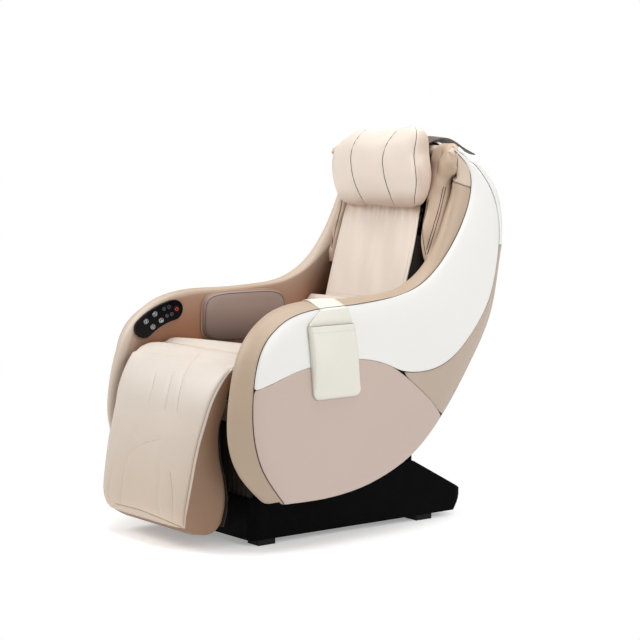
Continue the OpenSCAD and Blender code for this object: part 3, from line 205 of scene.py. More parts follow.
def off_edge(p):
    """Distance from the shell's outline."""
    best = 1e9
    for a, b in zip(EDGE, EDGE[1:]):
        e = (b[0] - a[0], b[1] - a[1])
        f = min(1, max(0, ((p[0] - a[0]) * e[0] + (p[1] - a[1]) * e[1]) / (e[0] ** 2 + e[1] ** 2)))
        best = min(best, hypot(p[0] - a[0] - f * e[0], p[1] - a[1] - f * e[1]))
    return best


def bulge(p):
    """How far the side panel's crown stands out."""
    return PANEL_CROWN * sqrt(1 - (1 - min(1, off_edge(p) / 150)) ** 2.6)


# ---- Materials ----

M = {}
ROUGH_VAR = 0.06


def linear(c):
    """An 8-bit colour value as light."""
    c = c / 255
    return c / 12.92 if c <= 0.04045 else ((c + 0.055) / 1.055) ** 2.4


def rgba(rgb, gain=1):
    return tuple(min(1, linear(c) * gain) for c in rgb) + (1,)


def valued(node, values):
    """The node, with its inputs set by name."""
    for key, value in values.items():
        node.inputs[key].default_value = value
    return node


def shade(name, rgb, rough=0.45, var=0.04, var_scale=6.0, metal=0.0, coat=0.0, coat_rough=0.12, sheen=0.0,
          specular=0.5, grain=None, weave=None, brushed=None, fades=(), painted_shade=None, emit=None):
    """A surface: colour that varies softly, roughness, and grain, weave or brushing in its bump.

    fades are painted light or shade towards a place, as (axis, from, to, colour); painted_shade is the colour of
    painted shade.
    """
    m = M[name] = bpy.data.materials.new(name)
    m.use_nodes = True
    m.diffuse_color = rgba(rgb)
    nodes, links = m.node_tree.nodes, m.node_tree.links
    bsdf = valued(nodes["Principled BSDF"], {
        "Metallic": metal, "Coat Weight": coat, "Coat Roughness": coat_rough, "Sheen Weight": sheen,
        "Sheen Roughness": 0.5, "Specular IOR Level": specular})
    coords = nodes.new("ShaderNodeTexCoord")

    def placed(kind, values, vector=None):
        node = valued(nodes.new(kind), values)
        links.new(vector or coords.outputs["Object"], node.inputs["Vector"])
        return node

    def noise_tex(scale, detail=3.0, vector=None):
        return placed("ShaderNodeTexNoise", {"Scale": scale, "Detail": detail}, vector).outputs["Fac"]

    def ranged(value, lo, hi, a=0.3, b=0.7):
        r = valued(nodes.new("ShaderNodeMapRange"), {"From Min": a, "From Max": b, "To Min": lo, "To Max": hi})
        links.new(value, r.inputs["Value"])
        return r.outputs["Result"]

    def mixed(fac, a, b, kind="MIX"):
        x = nodes.new("ShaderNodeMix")
        x.data_type = "RGBA"
        x.blend_type = kind
        for k, v in ((0, fac), (6, a), (7, b)):
            if isinstance(v, (int, float, tuple)):
                x.inputs[k].default_value = v
            else:
                links.new(v, x.inputs[k])
        return x.outputs[2]

    colour = mixed(ranged(noise_tex(var_scale), 0, 1), rgba(rgb, 1 - var), rgba(rgb, 1 + var))
    # Painted light or shade towards a place along one axis
    for axis, a, b, tint in fades:
        split = nodes.new("ShaderNodeSeparateXYZ")
        links.new(coords.outputs["Object"], split.inputs[0])
        colour = mixed(ranged(split.outputs["XYZ".index(axis)], 0, 1, a, b), colour, rgba(tint))
    # Painted shade, by the share that each place carries
    if painted_shade:
        painted = nodes.new("ShaderNodeAttribute")
        painted.attribute_name = "painted_shade"
        colour = mixed(painted.outputs["Fac"], colour, rgba(painted_shade))
    links.new(ranged(noise_tex(var_scale * 4), rough - ROUGH_VAR, rough + ROUGH_VAR), bsdf.inputs["Roughness"])
    height = None
    if grain:
        scale, depth = grain
        cells = placed("ShaderNodeTexVoronoi", {"Scale": scale})
        height = mixed(0.4, cells.outputs["Distance"], noise_tex(scale * 0.35, 5))
        colour = mixed(0.05, colour, height, "MULTIPLY")
    if weave:
        scale, depth = weave
        waves = []
        for direction in ("X", "Z"):
            w = placed("ShaderNodeTexWave", {"Scale": scale, "Distortion": 0.6})
            w.bands_direction = direction
            waves.append(w.outputs["Fac"])
        height = mixed(1.0, waves[0], waves[1], "MULTIPLY")
        colour = mixed(0.45, colour, height, "MULTIPLY")
    if brushed:
        stretch = placed("ShaderNodeMapping", {"Scale": brushed})
        height, depth = noise_tex(60, 4, stretch.outputs["Vector"]), 0.00004
    if height:
        bump = valued(nodes.new("ShaderNodeBump"), {"Strength": 0.55, "Distance": depth})
        links.new(height, bump.inputs["Height"])
        links.new(bump.outputs["Normal"], bsdf.inputs["Normal"])
    links.new(colour, bsdf.inputs["Base Color"])
    if emit:
        valued(bsdf, {"Emission Color": rgba(rgb), "Emission Strength": emit})


# Grain and weave are (cells to the metre, depth in metres)
GRAIN = (950, 0.00022)
PANEL = dict(rough=0.36, var_scale=3, grain=(1500, 0.00003))
LEATHER = dict(rough=0.42, var_scale=5, grain=GRAIN, sheen=0.05)
THREAD = dict(var_scale=40, grain=(1600, 0.0001))
shade("panel_white", (233, 232, 228), var=0.012, coat=0.15, specular=0.4, **PANEL)
shade("panel_taupe", (196, 176, 165), var=0.02, coat=0.2, **PANEL)
shade("panel_tan", (184, 166, 149), var=0.02, coat=0.2, **PANEL)
# Its second colour is painted shade, on the near arm's inner wall.
shade("tan_leather", (182, 160, 138), painted_shade=(150, 100, 70), **LEATHER)
# The far arm's leather, a lighter copy: painted light towards its front and back, and painted shade on its inner wall.
shade("arm_leather", (184, 162, 141), painted_shade=(146, 97, 68),
      fades=[("Y", -0.24, -0.34, (206, 189, 172)), ("Y", 0.02, 0.2, (206, 187, 170))], **LEATHER)
# Its second colour is painted shade.
shade("wing_leather", (192, 168, 146), painted_shade=(120, 88, 66), **LEATHER)
shade("cap_leather", (206, 188, 170), **LEATHER)
shade("seat_leather", (214, 203, 191), var=0.03, **LEATHER)
# Its second colour is painted shade: in the flap's gathers, under the pillow and on the pillow.
shade("beige_leather", (228, 214, 201), var=0.03, painted_shade=(176, 138, 108), **LEATHER)
# Painted shade, darker towards the bottom of the leg rest.
shade("leg_leather", (218, 207, 196), var=0.03, fades=[("Z", 0.4, 0.05, (200, 180, 160))], **LEATHER)
# Painted shade, darker towards the bottom of the hip pads.
shade("mauve_leather", (146, 126, 118), 0.4, 0.05, 5, grain=GRAIN, sheen=0.05, fades=[("Z", 0.54, 0.46, (92, 73, 65))])
shade("gusset_leather", (140, 108, 84), 0.45, 0.06, 7, grain=GRAIN)
shade("strap_leather", (92, 78, 72), 0.5, 0.06, 9, grain=GRAIN)
shade("pouch_leather", (228, 225, 214), 0.42, 0.03, 6, grain=GRAIN)
shade("pouch_inside", (120, 116, 106), 0.8, 0.05, 20, weave=(160, 0.0001))
shade("liner_mesh", (38, 33, 31), 0.8, 0.1, 20, weave=(110, 0.0006), specular=0.2)
shade("skirt_cloth", (52, 44, 38), 0.85, 0.12, 15, weave=(170, 0.0003), specular=0.2, sheen=0.2)
shade("seam_dark", (46, 33, 25), 0.6, 0.1, **THREAD)
shade("seam_tan", (150, 124, 102), 0.55, 0.06, **THREAD)
shade("seam_light", (196, 172, 152), 0.55, 0.05, **THREAD)
shade("seam_pouch", (196, 192, 178), 0.6, 0.05, **THREAD)
shade("piping_tan", (168, 140, 116), 0.45, 0.06, 40, grain=(1400, 0.0001))
shade("base_black", (2, 2, 3), 0.55, 0.1, 8, specular=0.05, grain=(1200, 0.00006))
shade("frame_paint", (38, 38, 40), 0.5, 0.12, 14, grain=(900, 0.00005))
shade("foot_rubber", (16, 16, 16), 0.75, 0.12, 20, specular=0.25, grain=(500, 0.00012))
shade("inlet_plastic", (22, 22, 24), 0.5, 0.1, 20, grain=(1300, 0.00005))
shade("switch_plastic", (26, 26, 28), 0.4, 0.1, 20, grain=(1300, 0.00003))
shade("box_plastic", (74, 78, 82), 0.5, 0.08, 12, grain=(1000, 0.00005))
shade("pin_steel", (190, 190, 192), 0.3, 0.05, 20, metal=1, brushed=(1, 40, 40))
shade("motor_plastic", (40, 42, 46), 0.5, 0.1, 14, grain=(1000, 0.00006))
shade("rod_chrome", (214, 216, 220), 0.14, 0.02, 20, metal=1, brushed=(40, 2, 2))
shade("board_wood", (186, 156, 112), 0.6, 0.12, 10, brushed=(2, 30, 6))
shade("panel_black", (4, 5, 7), 0.28, 0.1, 12, coat=0.05, coat_rough=0.2, specular=0.14, grain=(1500, 0.00001))
shade("rail_steel", (178, 180, 184), 0.34, 0.04, 16, metal=1, brushed=(60, 60, 2))
shade("carriage_plastic", (52, 54, 58), 0.5, 0.1, 14, grain=(1000, 0.00008))
shade("roller_rubber", (150, 146, 140), 0.6, 0.06, 30, grain=(900, 0.0001))
shade("key_plastic", (6, 7, 9), 0.26, 0.1, 30, coat=0.1, grain=(1500, 0.00001))
# Printed signs on the keys; their glow is painted light.
shade("icon_light", (200, 208, 216), 0.4, 0.03, 60, emit=0.3)
shade("icon_dim", (96, 104, 114), 0.4, 0.03, 60, emit=0.15)
shade("icon_red", (226, 60, 52), 0.4, 0.03, 60, emit=0.5)

SLOT_OF = {s["node"]: s["material_slot"] for s in frame["record"]["subparts"]}
for name, obj in NODES.items():
    obj.data.materials.clear()
    obj.data.materials.append(M[SLOT_OF[name]])

# ---- Mesh tools, in metres ----


def add(name, verts, faces, material, body, replaces=(), smooth_it=True, turn_out=True):
    """A new piece from its places and faces, which are turned outwards."""
    mesh = bpy.data.meshes.new(name)
    mesh.from_pydata([tuple(v) for v in verts], [], faces)
    mesh.validate()
    mesh.update()
    if turn_out:
        bm = bmesh.new()
        bm.from_mesh(mesh)
        bmesh.ops.recalc_face_normals(bm, faces=bm.faces)
        bm.to_mesh(mesh)
        bm.free()
    return finish_piece(name, mesh, material, body, replaces, smooth_it)


def finish_piece(name, mesh, material, body, replaces=(), smooth_it=True):
    """Gives a mesh its material, its body and the CAD nodes whose place it takes."""
    mesh.materials.clear()
    mesh.materials.append(M[material])
    for p in mesh.polygons:
        p.use_smooth = smooth_it
    obj = bpy.data.objects.new(name, mesh)
    scene.collection.objects.link(obj)
    if replaces:
        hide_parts(*replaces)
    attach(obj, body)
    return obj


def paint_shade(obj, share):
    """Paints how much painted shade, the material's second colour, each place has."""
    layer = obj.data.attributes.new("painted_shade", "FLOAT", "POINT")
    for i, v in enumerate(obj.data.vertices):
        layer.data[i].value = min(1, max(0, share(i, v.co)))


def eased(path, rounds=4):
    """The same path without its small turns."""
    path = [Vector(p) for p in path]
    for k in range(rounds):
        path = [path[0]] + [(a + b * 2 + c) / 4 for a, b, c in zip(path, path[1:], path[2:])] + [path[-1]]
    return path


def grid_faces(m, n, closed=False, start=0):
    """Faces between m rows of n places."""
    out = []
    for i in range(m - 1):
        for j in range(n if closed else n - 1):
            a, k = start + i * n, (j + 1) % n
            out.append((a + j, a + k, a + n + k, a + n + j))
    return out


def loft(name, rings, material, body, slot, replaces=()):
    """Closed body through rings of places."""
    n, m = len(rings[0]), len(rings)
    verts = [p for r in rings for p in r]
    faces = grid_faces(m, n, True)
    for ring, base in ((rings[0], 0), (rings[-1], (m - 1) * n)):
        verts.append(sum((Vector(p) for p in ring), Vector()) / n)
        faces += [(len(verts) - 1, base + j, base + (j + 1) % n) for j in range(n)]
    return add(name, verts, faces, material, body, replaces)


def plate(name, outer, inner, material, body, slot, replaces=()):
    """Closed skin between two grids of places."""
    m, n = len(outer), len(outer[0])
    o = m * n
    verts = [p for r in outer for p in r] + [p for r in inner for p in r]
    faces = grid_faces(m, n) + grid_faces(m, n, start=o)
    rim = [(j, j + 1) for j in range(n - 1)] + [(i * n + n - 1, (i + 1) * n + n - 1) for i in range(m - 1)]
    rim += [((m - 1) * n + j, (m - 1) * n + j - 1) for j in range(n - 1, 0, -1)]
    rim += [(i * n, (i - 1) * n) for i in range(m - 1, 0, -1)]
    faces += [(a, b, o + b, o + a) for a, b in rim]
    return add(name, verts, faces, material, body, replaces)


def tube(name, path, radius, material, body, slot, sides=6, closed=False):
    """Round bead along a path."""
    path = [Vector(p) for p in path]
    n = len(path)
    verts, faces = [], []
    last = None
    for i, p in enumerate(path):
        if closed:
            d = path[(i + 1) % n] - path[i - 1]
        else:
            d = path[min(n - 1, i + 1)] - path[max(0, i - 1)]
        d.normalize()
        if last is None:
            last = d.orthogonal().normalized()
        last = a = (last - d * last.dot(d)).normalized()
        b = d.cross(a)
        verts += [p + a * x * radius + b * y * radius for x, y in round_about(sides)]
    for i in range(n if closed else n - 1):
        for k in range(sides):
            i2, k2 = (i + 1) % n, (k + 1) % sides
            faces.append((i * sides + k, i * sides + k2, i2 * sides + k2, i2 * sides + k))
    if not closed:
        faces.append(tuple(range(sides - 1, -1, -1)))
        faces.append(tuple((n - 1) * sides + k for k in range(sides)))
    return add(name, verts, faces, material, body)


def dashes(name, path, material, body, slot, pitch, r):
    """A line of stitches, each with tapered ends."""
    pts = spaced(path, pitch / 4)
    verts, faces = [], []
    for i in range(0, len(pts) - 4, 4):
        a, b = pts[i], pts[i] + (pts[min(len(pts) - 1, i + 4)] - pts[i]) * 0.62
        d = (b - a).normalized()
        u = d.orthogonal().normalized()
        w = d.cross(u)
        base = len(verts)
        for p, s in ((a, 0.45), (a + (b - a) * 0.3, 1), (a + (b - a) * 0.7, 1), (b, 0.45)):
            verts += [p + (u * x + w * y) * r * s for x, y in round_about(5)]
        faces += grid_faces(4, 5, True, base)
        faces.append(tuple(base + k for k in range(4, -1, -1)))
        faces.append(tuple(base + 15 + k for k in range(5)))
    return add(name, verts, faces, material, body, turn_out=False)


def merged(name, objs):
    """Joins pieces that ride on one body into one, each keeping its material."""
    bm = bmesh.new()
    mats = []
    for o in objs:
        start = len(bm.faces)
        bm.from_mesh(o.data)
        bm.faces.ensure_lookup_table()
        mats += [mt for mt in o.data.materials if mt not in mats]
        for f in bm.faces[start:]:
            f.material_index = mats.index(o.data.materials[0])
    keep = objs[0]
    bm.to_mesh(keep.data)
    bm.free()
    keep.data.materials.clear()
    for mt in mats:
        keep.data.materials.append(mt)
    keep.name = name
    for o in objs[1:]:
        bpy.data.objects.remove(o)
    return keep


def node_bm(node):
    """The mesh of a CAD node with its corners shared and its triangles paired."""
    bm = bmesh.new()
    bm.from_mesh(NODES[node].data)
    bmesh.ops.remove_doubles(bm, verts=bm.verts, dist=0.00002)
    bmesh.ops.join_triangles(bm, faces=bm.faces, angle_face_threshold=radians(40),
                             angle_shape_threshold=radians(150), cmp_seam=False, cmp_sharp=False,
                             cmp_uvs=False, cmp_vcols=False, cmp_materials=False)
    return bm


def worked(name, bm, modifiers):
    """The mesh of bm after modifiers, given as (kind, settings)."""
    mesh = bpy.data.meshes.new(name)
    bm.to_mesh(mesh)
    bm.free()
    obj = bpy.data.objects.new(name + "_cage", mesh)
    scene.collection.objects.link(obj)
    for kind, settings in modifiers:
        mod = obj.modifiers.new(kind, kind)
        for key, value in settings.items():
            setattr(mod, key, value)
    out = bpy.data.meshes.new_from_object(obj.evaluated_get(bpy.context.evaluated_depsgraph_get()))
    out.name = name
    bpy.data.objects.remove(obj)
    return out


def from_node(name, node, material, body, slot, levels, crease_deg, crease, move=None):
    """A subdivided copy of a CAD node; edges sharper than crease_deg stay crisp."""
    bm = node_bm(node)
    layer = bm.edges.layers.float.get("crease_edge") or bm.edges.layers.float.new("crease_edge")
    for e in bm.edges:
        if len(e.link_faces) == 2 and degrees(e.calc_face_angle(0)) > crease_deg:
            e[layer] = crease
    subdivide = dict(levels=levels, render_levels=levels, boundary_smooth="PRESERVE_CORNERS")
    mesh = worked(name, bm, [("SUBSURF", subdivide)])
    if move:
        for v in mesh.vertices:
            v.co = move(v.co.copy())
    return finish_piece(name, mesh, material, body, (node,))


def remeshed(name, node, material, body, voxel, rounds):
    """A softened copy of a CAD node: remeshed and relaxed."""
    mesh = worked(name, node_bm(node), [("REMESH", dict(mode="VOXEL", voxel_size=voxel)),
                                        ("SMOOTH", dict(factor=0.5, iterations=rounds))])
    return finish_piece(name, mesh, material, body, (node,))


def surface(*objs):
    """The faces of pieces, for finding places on them."""
    verts, faces = [], []
    for obj in objs:
        start = len(verts)
        verts += [v.co for v in obj.data.vertices]
        faces += [tuple(start + i for i in p.vertices) for p in obj.data.polygons]
    return BVHTree.FromPolygons(verts, faces)


def seen(tree, pixels, steps=6):
    """The places on a surface that lie behind a line of places in the frame."""
    spots = [(lerp(a[0], b[0], k / steps), lerp(a[1], b[1], k / steps))
             for a, b in zip(pixels, pixels[1:]) for k in range(steps)] + [pixels[-1]]
    hits = [tree.ray_cast(CAM, view_ray(*spot))[0] for spot in spots]
    return [p for p in hits if p is not None]


def spaced(points, step):
    """The same path with places at an even distance."""
    out, left = [Vector(points[0])], step
    for a, b in zip(points, points[1:]):
        a, b = Vector(a), Vector(b)
        d = (b - a).length
        while d >= left and d > 1e-9:
            a = a + (b - a) * (left / d)
            out.append(a.copy())
            d = (b - a).length
            left = step
        left -= d
    return out


def press_in(obj, paths, width, depth):
    """Draws the surface in along sewn lines, so that the filling swells between them."""
    points = [p for path in paths for p in spaced(path, width / 4)]
    tree = KDTree(len(points))
    for i, p in enumerate(points):
        tree.insert(p, i)
    tree.balance()
    verts = obj.data.vertices
    for v, n in zip(verts, [v.normal.copy() for v in verts]):
        d = tree.find(v.co)[2]
        if d < 3 * width:
            v.co = v.co - n * depth * exp(-(d / width) ** 2 * 1.3)


def mirrored(points, side):
    return [Vector((p[0] * side, p[1], p[2])) for p in points]


def put_on(tree, points, lift):
    """Moves a path onto the nearest surface, or a little over it."""
    return [co + n * lift for co, n in (tree.find_nearest(p)[:2] for p in points)]


def laid(tree, line, side=1, lift=0.0001):
    """A sewn line, or its mirror image, laid on a surface in even steps of 4 mm."""
    return put_on(tree, spaced(mirrored(line, side), 0.004), lift)


def shifted(points, x, z=0.0):
    return [p + Vector((x, 0, z)) for p in points]


# Body and slot of the leather on the back and seat
TAN, BEIGE = ("cradle", "tan_leather"), ("cradle", "beige_leather")

# ---- Side shells ----

SHELL_EDGES = (2, 35, 0.9)


def low_crown(co):
    """The shells' top corners lie a little lower behind the caps, under the strap."""
    y = co.y * 1000 + MID_Y
    drop = 9.5 * smooth((co.z * 1000 - 912) / 25) * smooth((abs(co.x) * 1000 - 90) / 60) * smooth((y - 345) / 25)
    return Vector((co.x, co.y, co.z - drop / 1000))


def side_gap_shade(side):
    """A dark cord in the gap between a side shell and its arm's roll: painted shade of the gap."""
    seam = []
    for i in range(161):
        t = 0.002 + 0.981 * i / 160
        s, n = along(FRONT, t), normal_at(FRONT, t)
        seam.append(mm(side_pt(0.6, (s[0] + n[0] * 0.2, s[1] + n[1] * 0.2))))
    return [low_crown(p) for p in mirrored(seam, side)]


# Part of the side shell, its paint, and what moves its places
SHELLS = (("upper", "panel_white", low_crown), ("lower", "panel_taupe", None), ("rear", "panel_tan", None))
for side, word in SIDES:
    for part, paint, move in SHELLS:
        from_node("shell_%s_%s" % (part, word), "side_%s_%s" % (part, word), paint, "cradle", paint, *SHELL_EDGES, move)
    # Painted shade: a dark cord along the gap between shell and roll.
    tube("gap_shade_cord_" + word, side_gap_shade(side), 0.001, "seam_dark", *TAN, 8)
from_node("rear_shell_upper", "rear_cover_upper", "panel_white", "cradle", "panel_tan", *SHELL_EDGES, low_crown)
from_node("rear_shell_lower", "rear_cover_lower", "panel_tan", "cradle", "panel_tan", *SHELL_EDGES)

# ---- Arm pads ----

T_START, T_END, T_SLANT = 0.012, 0.858, 0.036
ARM_ALONG, ARM_ACROSS = 150, 30
WALL_SHARES = (0.04, 0.12, 0.25, 0.5, 0.75, 0.97)
# How much painted shade lies round the arm, from the side seam over the roll and down the inner wall
ARM_SHADE = [0] * 22 + [0.02, 0.05, 0.1, 0.15, 0.2, 0.26, 0.32, 0.38, 0.44] + [0.5, 0.6, 0.75, 0.95, 1, 1] + [1] * 3


def arm_rings(side):
    """Rings round the arm: the roll, the inner wall and the hidden back of the pad."""
    rings = []
    qs = [0.5 - 0.5 * cos(pi * (j / ARM_ACROSS) ** 0.9) for j in range(ARM_ACROSS + 1)]
    for i in range(ARM_ALONG + 1):
        u = i / ARM_ALONG
        # Drawn in towards the seam at each end
        full = 0.86 + 0.14 * sqrt(max(0, min(1, u / 0.012, (1 - u) / 0.012)))
        ring = []
        for q in qs:
            t = lerp(T_START, T_END + T_SLANT * smooth(q), u)
            ring.append(roll_pt(t, q, roll_out(t) * full))
        t = lerp(T_START, T_END + T_SLANT, u)
        s, n, k = along(FRONT, t), normal_at(FRONT, t), along(WALL, t)
        for f in WALL_SHARES:
            ring.append(wall_pt(0 if f < 0.9 else 1.5, (lerp(s[0], k[0], f), lerp(s[1], k[1], f))))
        ring += [wall_pt(5, k), wall_pt(11, k)]
        ring.append(side_pt(11 - arm_t_at(s), (s[0] + n[0] * GAP, s[1] + n[1] * GAP)))
        rings.append(mirrored([mm(p) for p in ring], side))
    return rings


def arm_shade_share(i, co):
    """Painted shade on the inner wall, deepest at mid height."""
    return ARM_SHADE[i % len(ARM_SHADE)] * (0.35 + 0.65 * smooth((co.z - 0.2) / 0.2)) * (1 - 0.5 * smooth((co.z - 0.6) / 0.2))


for side, word in SIDES:
    # The far arm has a lighter copy of the leather, with painted light towards its front and back.
    leather = "tan_leather" if side > 0 else "arm_leather"
    arm = loft("arm_" + word, arm_rings(side), leather, *TAN, ("arm_pad_" + word,))
    # Painted shade on both arms' inner walls
    paint_shade(arm, arm_shade_share)

# ---- Cap and top roll ----

CAP_END = 0.985
# The top roll's middle line and radius, from the left end to the middle
TOP = [(225, 345, 902, 17), (215, 350, 918, 17), (202, 355, 931, 17), (182, 360, 940, 16.5), (140, 363, 946, 16),
       (0, 365, 950, 16)]


def cap_rings(side):
    """The cap that carries the arm's roll on over the shoulder; it narrows behind the wing."""
    rings = []
    for i in range(25):
        u = i / 24
        slim = 1 - 0.5 * smooth((u - 0.45) / 0.35)
        ring = []
        for j in range(31):
            q = 0.5 - 0.5 * cos(pi * j / 30)
            t = lerp(T_END + 0.003 + T_SLANT * smooth(q), CAP_END, u)
            h = roll_out(t) * (1 - 0.5 * u ** 1.6) * (0.9 + 0.1 * min(1, u * 24) ** 0.5)
            h *= 1 - 0.8 * smooth((q - 0.3) / 0.4) * smooth(u / 0.25)
            ring.append(roll_pt(t, q * slim, h))
        t = lerp(T_END + 0.003 + T_SLANT, CAP_END, u)
        s, n = along(FRONT, t), normal_at(FRONT, t)
        for f, sunk in ((1, 2.7), (0.75, 9), (0.5, 9), (0.25, 9), (0.02, 2.7)):
            ring.append(side_pt(-arm_t_at(s) * slim * f, (s[0] - n[0] * sunk, s[1] - n[1] * sunk)))
        rings.append(mirrored([mm(p) for p in ring], side))
    return rings


def top_rings():
    path = TOP + [(-p[0],) + p[1:] for p in reversed(TOP[:-1])]
    rings = []
    for i in range(97):
        f = i / 96
        c, a, b = along(path, f), along(path, max(0, f - 0.01)), along(path, min(1, f + 0.01))
        d = Vector((b[0] - a[0], b[1] - a[1], b[2] - a[2])).normalized()
        u = d.cross(Vector((0, 0.9, 0.1))).normalized()
        w = u.cross(d)
        rings.append([mm(Vector(c[:3]) + (u * x + w * y) * c[3]) for x, y in round_about(20)])
    return rings


parts = [loft("cap", cap_rings(side), "cap_leather", *TAN) for side, word in SIDES]
parts.append(loft("roll", top_rings(), "tan_leather", *TAN))
top = merged("top_roll_pad", parts)
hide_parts("top_roll")

# ---- Hip pads ----

HIP_MID, HIP_HALF = (-11, 514), (132, 66)
# Height over the inner wall, and how far the outline is drawn in there
HIP_DOME = [(0.2, 3), (2, 1.6), (4.5, 0.5), (8, 0.3), (11, 1.6), (13.6, 4.4), (15.6, 8.6), (17.2, 14),
            (18.6, 22), (19.7, 32), (20.4, 44), (20.8, 56), (20.9, 63)]


def hip_line(height, inset, places=160, square=0.0):
    """A rounded oblong over the inner wall; square takes its corners in."""
    power = 0.45 + square
    line = []
    for k in range(places):
        b = 2 * pi * k / places
        spot = [m + (h - inset) * bent(v, power) for m, h, v in zip(HIP_MID, HIP_HALF, (cos(b), sin(b)))]
        line.append(mm(wall_pt(-height, spot)))
    return line


for side, word in SIDES:
    rings = [mirrored(hip_line(height, inset, 96, 0.3 * (inset / HIP_HALF[1]) ** 2), side)
             for height, inset in HIP_DOME]
    pad = loft("hip_" + word, rings, "mauve_leather", "cradle", "mauve_leather", ("hip_pad_" + word,))
    tube("hip_welt_" + word, mirrored(hip_line(2.2, 0), side), 0.0026, "piping_tan", *TAN, 8, True)
    tube("hip_seam_" + word, mirrored(hip_line(13.9, 4.8), side), 0.0007, "seam_dark", *TAN, 6, True)

# ---- Seat and lumbar pad ----

HINGE, KNEE_R = (-298, 383), 81.3


def lip_forward(co):
    """Brings the seat's front lip over the knee roll."""
    y, z = co.y * 1000 + MID_Y, co.z * 1000
    if z > 454:
        y -= 2.5 * smooth((-255 - y) / 16) * smooth((z - 454) / 8)
        knee = HINGE[1] + 0.4 + sqrt(max(0, KNEE_R ** 2 - (y - HINGE[0]) ** 2))
        z = max(min(z, knee), lerp(z, knee, smooth((-236 - y) / 36)))
    return Vector((co.x, (y - MID_Y) / 1000, z / 1000))


seat = from_node("seat_pad", "seat_cushion", "seat_leather", *BEIGE, 2, 60, 0.6, lip_forward)
lumbar = from_node("lumbar_pad", "lumbar_cushion", "beige_leather", *BEIGE, 2, 60, 0.5)

# ---- Shoulder wings ----

# Height, inner edge, middle depth and half thickness, from the foot of the wing to its top
WINGS = [(645, 196, 276, 5), (680, 178, 281, 18), (722, 168, 285, 23), (752, 167, 291, 26),
         (790, 163, 306, 29), (830, 158, 319, 31), (878, 152, 329, 25), (905, 146, 331, 18),
         (926, 142, 331, 14), (942, 144, 334, 13), (954, 149, 337, 12), (963, 157, 341, 9), (968, 170, 345, 5)]
# Height and outer edge, over the top of the inner wall
WING_FREE = 868
WING_OUT = [(645, 300), (868, 209), (880, 216), (890, 232), (905, 248), (922, 255), (941, 256), (954, 251),
            (963, 243), (968, 229)]
# Where the sewn lines and folds lie in the frame, in pixels
WING_SEAMS = [
    [(427.5, 200), (422.5, 214), (421, 232), (425.5, 256)],
    [(446.2, 187), (441.5, 208), (436, 228), (427, 254)],
    [(443.8, 187), (439.5, 206), (433.6, 226), (425.8, 251)]]
WING_FOLDS = [[(449, 183), (442, 196), (435.5, 209)], [(442.2, 151), (437.8, 163), (436.2, 174)]]
CAP_SEAM = [(449.3, 143.3), (454.5, 148), (457.3, 154), (457.6, 161), (456.7, 168.7), (450, 180.7)]


def wing_pt(u, b):
    """A place on the left wing: u from foot to top, b round it."""
    k = along(WINGS, u)
    out = lookup(k[0], WING_OUT) if k[0] > WING_FREE else wall_pt(-0.6, (0, k[0]))[0]
    r = max(1, (out - k[1]) / 2)
    x = out - r + r * bent(cos(b), 0.8)
    y = k[2] + k[3] * sin(b) - 14 * smooth((x - 166) / 66) * smooth((k[0] - 880) / 40)
    y += 12 * smooth((x - out + 36) / 36) * smooth((k[0] - 665) / 50) * smooth((872 - k[0]) / 40)
    y -= 3.2 * ripple(x / 26 + k[0] / 40, k[0] / 70, 3) * max(0, -sin(b))
    return mm((x, y, k[0]))


rings = [[wing_pt(i / 100, 2 * pi * j / 72) for j in range(72)] for i in range(101)]
wings = [loft("wing_" + word, [mirrored(ring, side) for ring in rings], "wing_leather", *TAN, ("shoulder_wing_" + word,))
         for side, word in SIDES]
tree = surface(wings[0])
sewn = [eased(seen(tree, line, 8)) for line in WING_SEAMS + WING_FOLDS]
for wing, (side, word) in zip(wings, SIDES):
    press_in(wing, [mirrored(line, side) for line in sewn], 0.006, 0.0026)
    tree = surface(wing)
    for k, line in enumerate(sewn[:3] + sewn[4:]):
        path = eased(laid(tree, line, side))
        radius, thread = (0.0009, "seam_dark") if k < len(WING_SEAMS) else (0.0005, "seam_tan")
        tube("wing_seam_%d_%s" % (k, word[0]), path, radius, thread, *TAN)
cap_seam = eased(seen(surface(wings[0], top), CAP_SEAM, 8))
for side, word in SIDES:
    tube("cap_seam_" + word[0], eased(mirrored(cap_seam, side)), 0.0008, "seam_dark", *TAN)

# ---- Liner and flap ----

liner = from_node("roller_liner", "back_liner", "liner_mesh", "cradle", "liner_mesh", 0, 40, 0.9)

FLAP_W, FLAP_T, FLAP_TOP, FLAP_LOW = 330, 2.2, 246, -21
HEM, THREAD_SINK = 9, 0.25
# Gathers under the pillow: place across, width, height, share of the length
GATHERS = [(-132, 16, 3, 0.7), (-92, 24, 5.5, 0.95), (-52, 12, 3, 0.45), (-27, 8, 2.6, 0.3), (-8, 7, 3.4, 0.24),
           (14, 6, 2.4, 0.34), (33, 9, 3.6, 0.42), (54, 6, 2, 0.24), (70, 8, 2.8, 0.3), (101, 20, 4.6, 0.85),
           (134, 12, 3, 0.5)]


def flap_pt(x, a, b):
    """x across the flap, a up the back, b through its thickness."""
    f = (a - FLAP_LOW) / (FLAP_TOP - FLAP_LOW)
    lift = 0
    for c, w, h, share in GATHERS:
        fold = exp(-((x - c * (0.86 + 0.14 * f)) / (w * (1.5 - 0.5 * f))) ** 2)
        lift += 1.35 * h * fold * smooth((f - 1 + share) / share) ** 1.2
    lift += 4.2 * ripple(x / 66 + 0.3 * f, a / 150, 3) + 0.8 * ripple(x / 26, a / 70, 9) + 2.2
    lift += 1.6 * sin(pi * (x / FLAP_W + 0.5))
    lift -= 1.6 * smooth((abs(x) - 150) / 15)
    return mm(back_pt(x * (1 - 0.1 * f ** 4 - 0.03 * (1 - f)), 6.2 - lift + b, a))


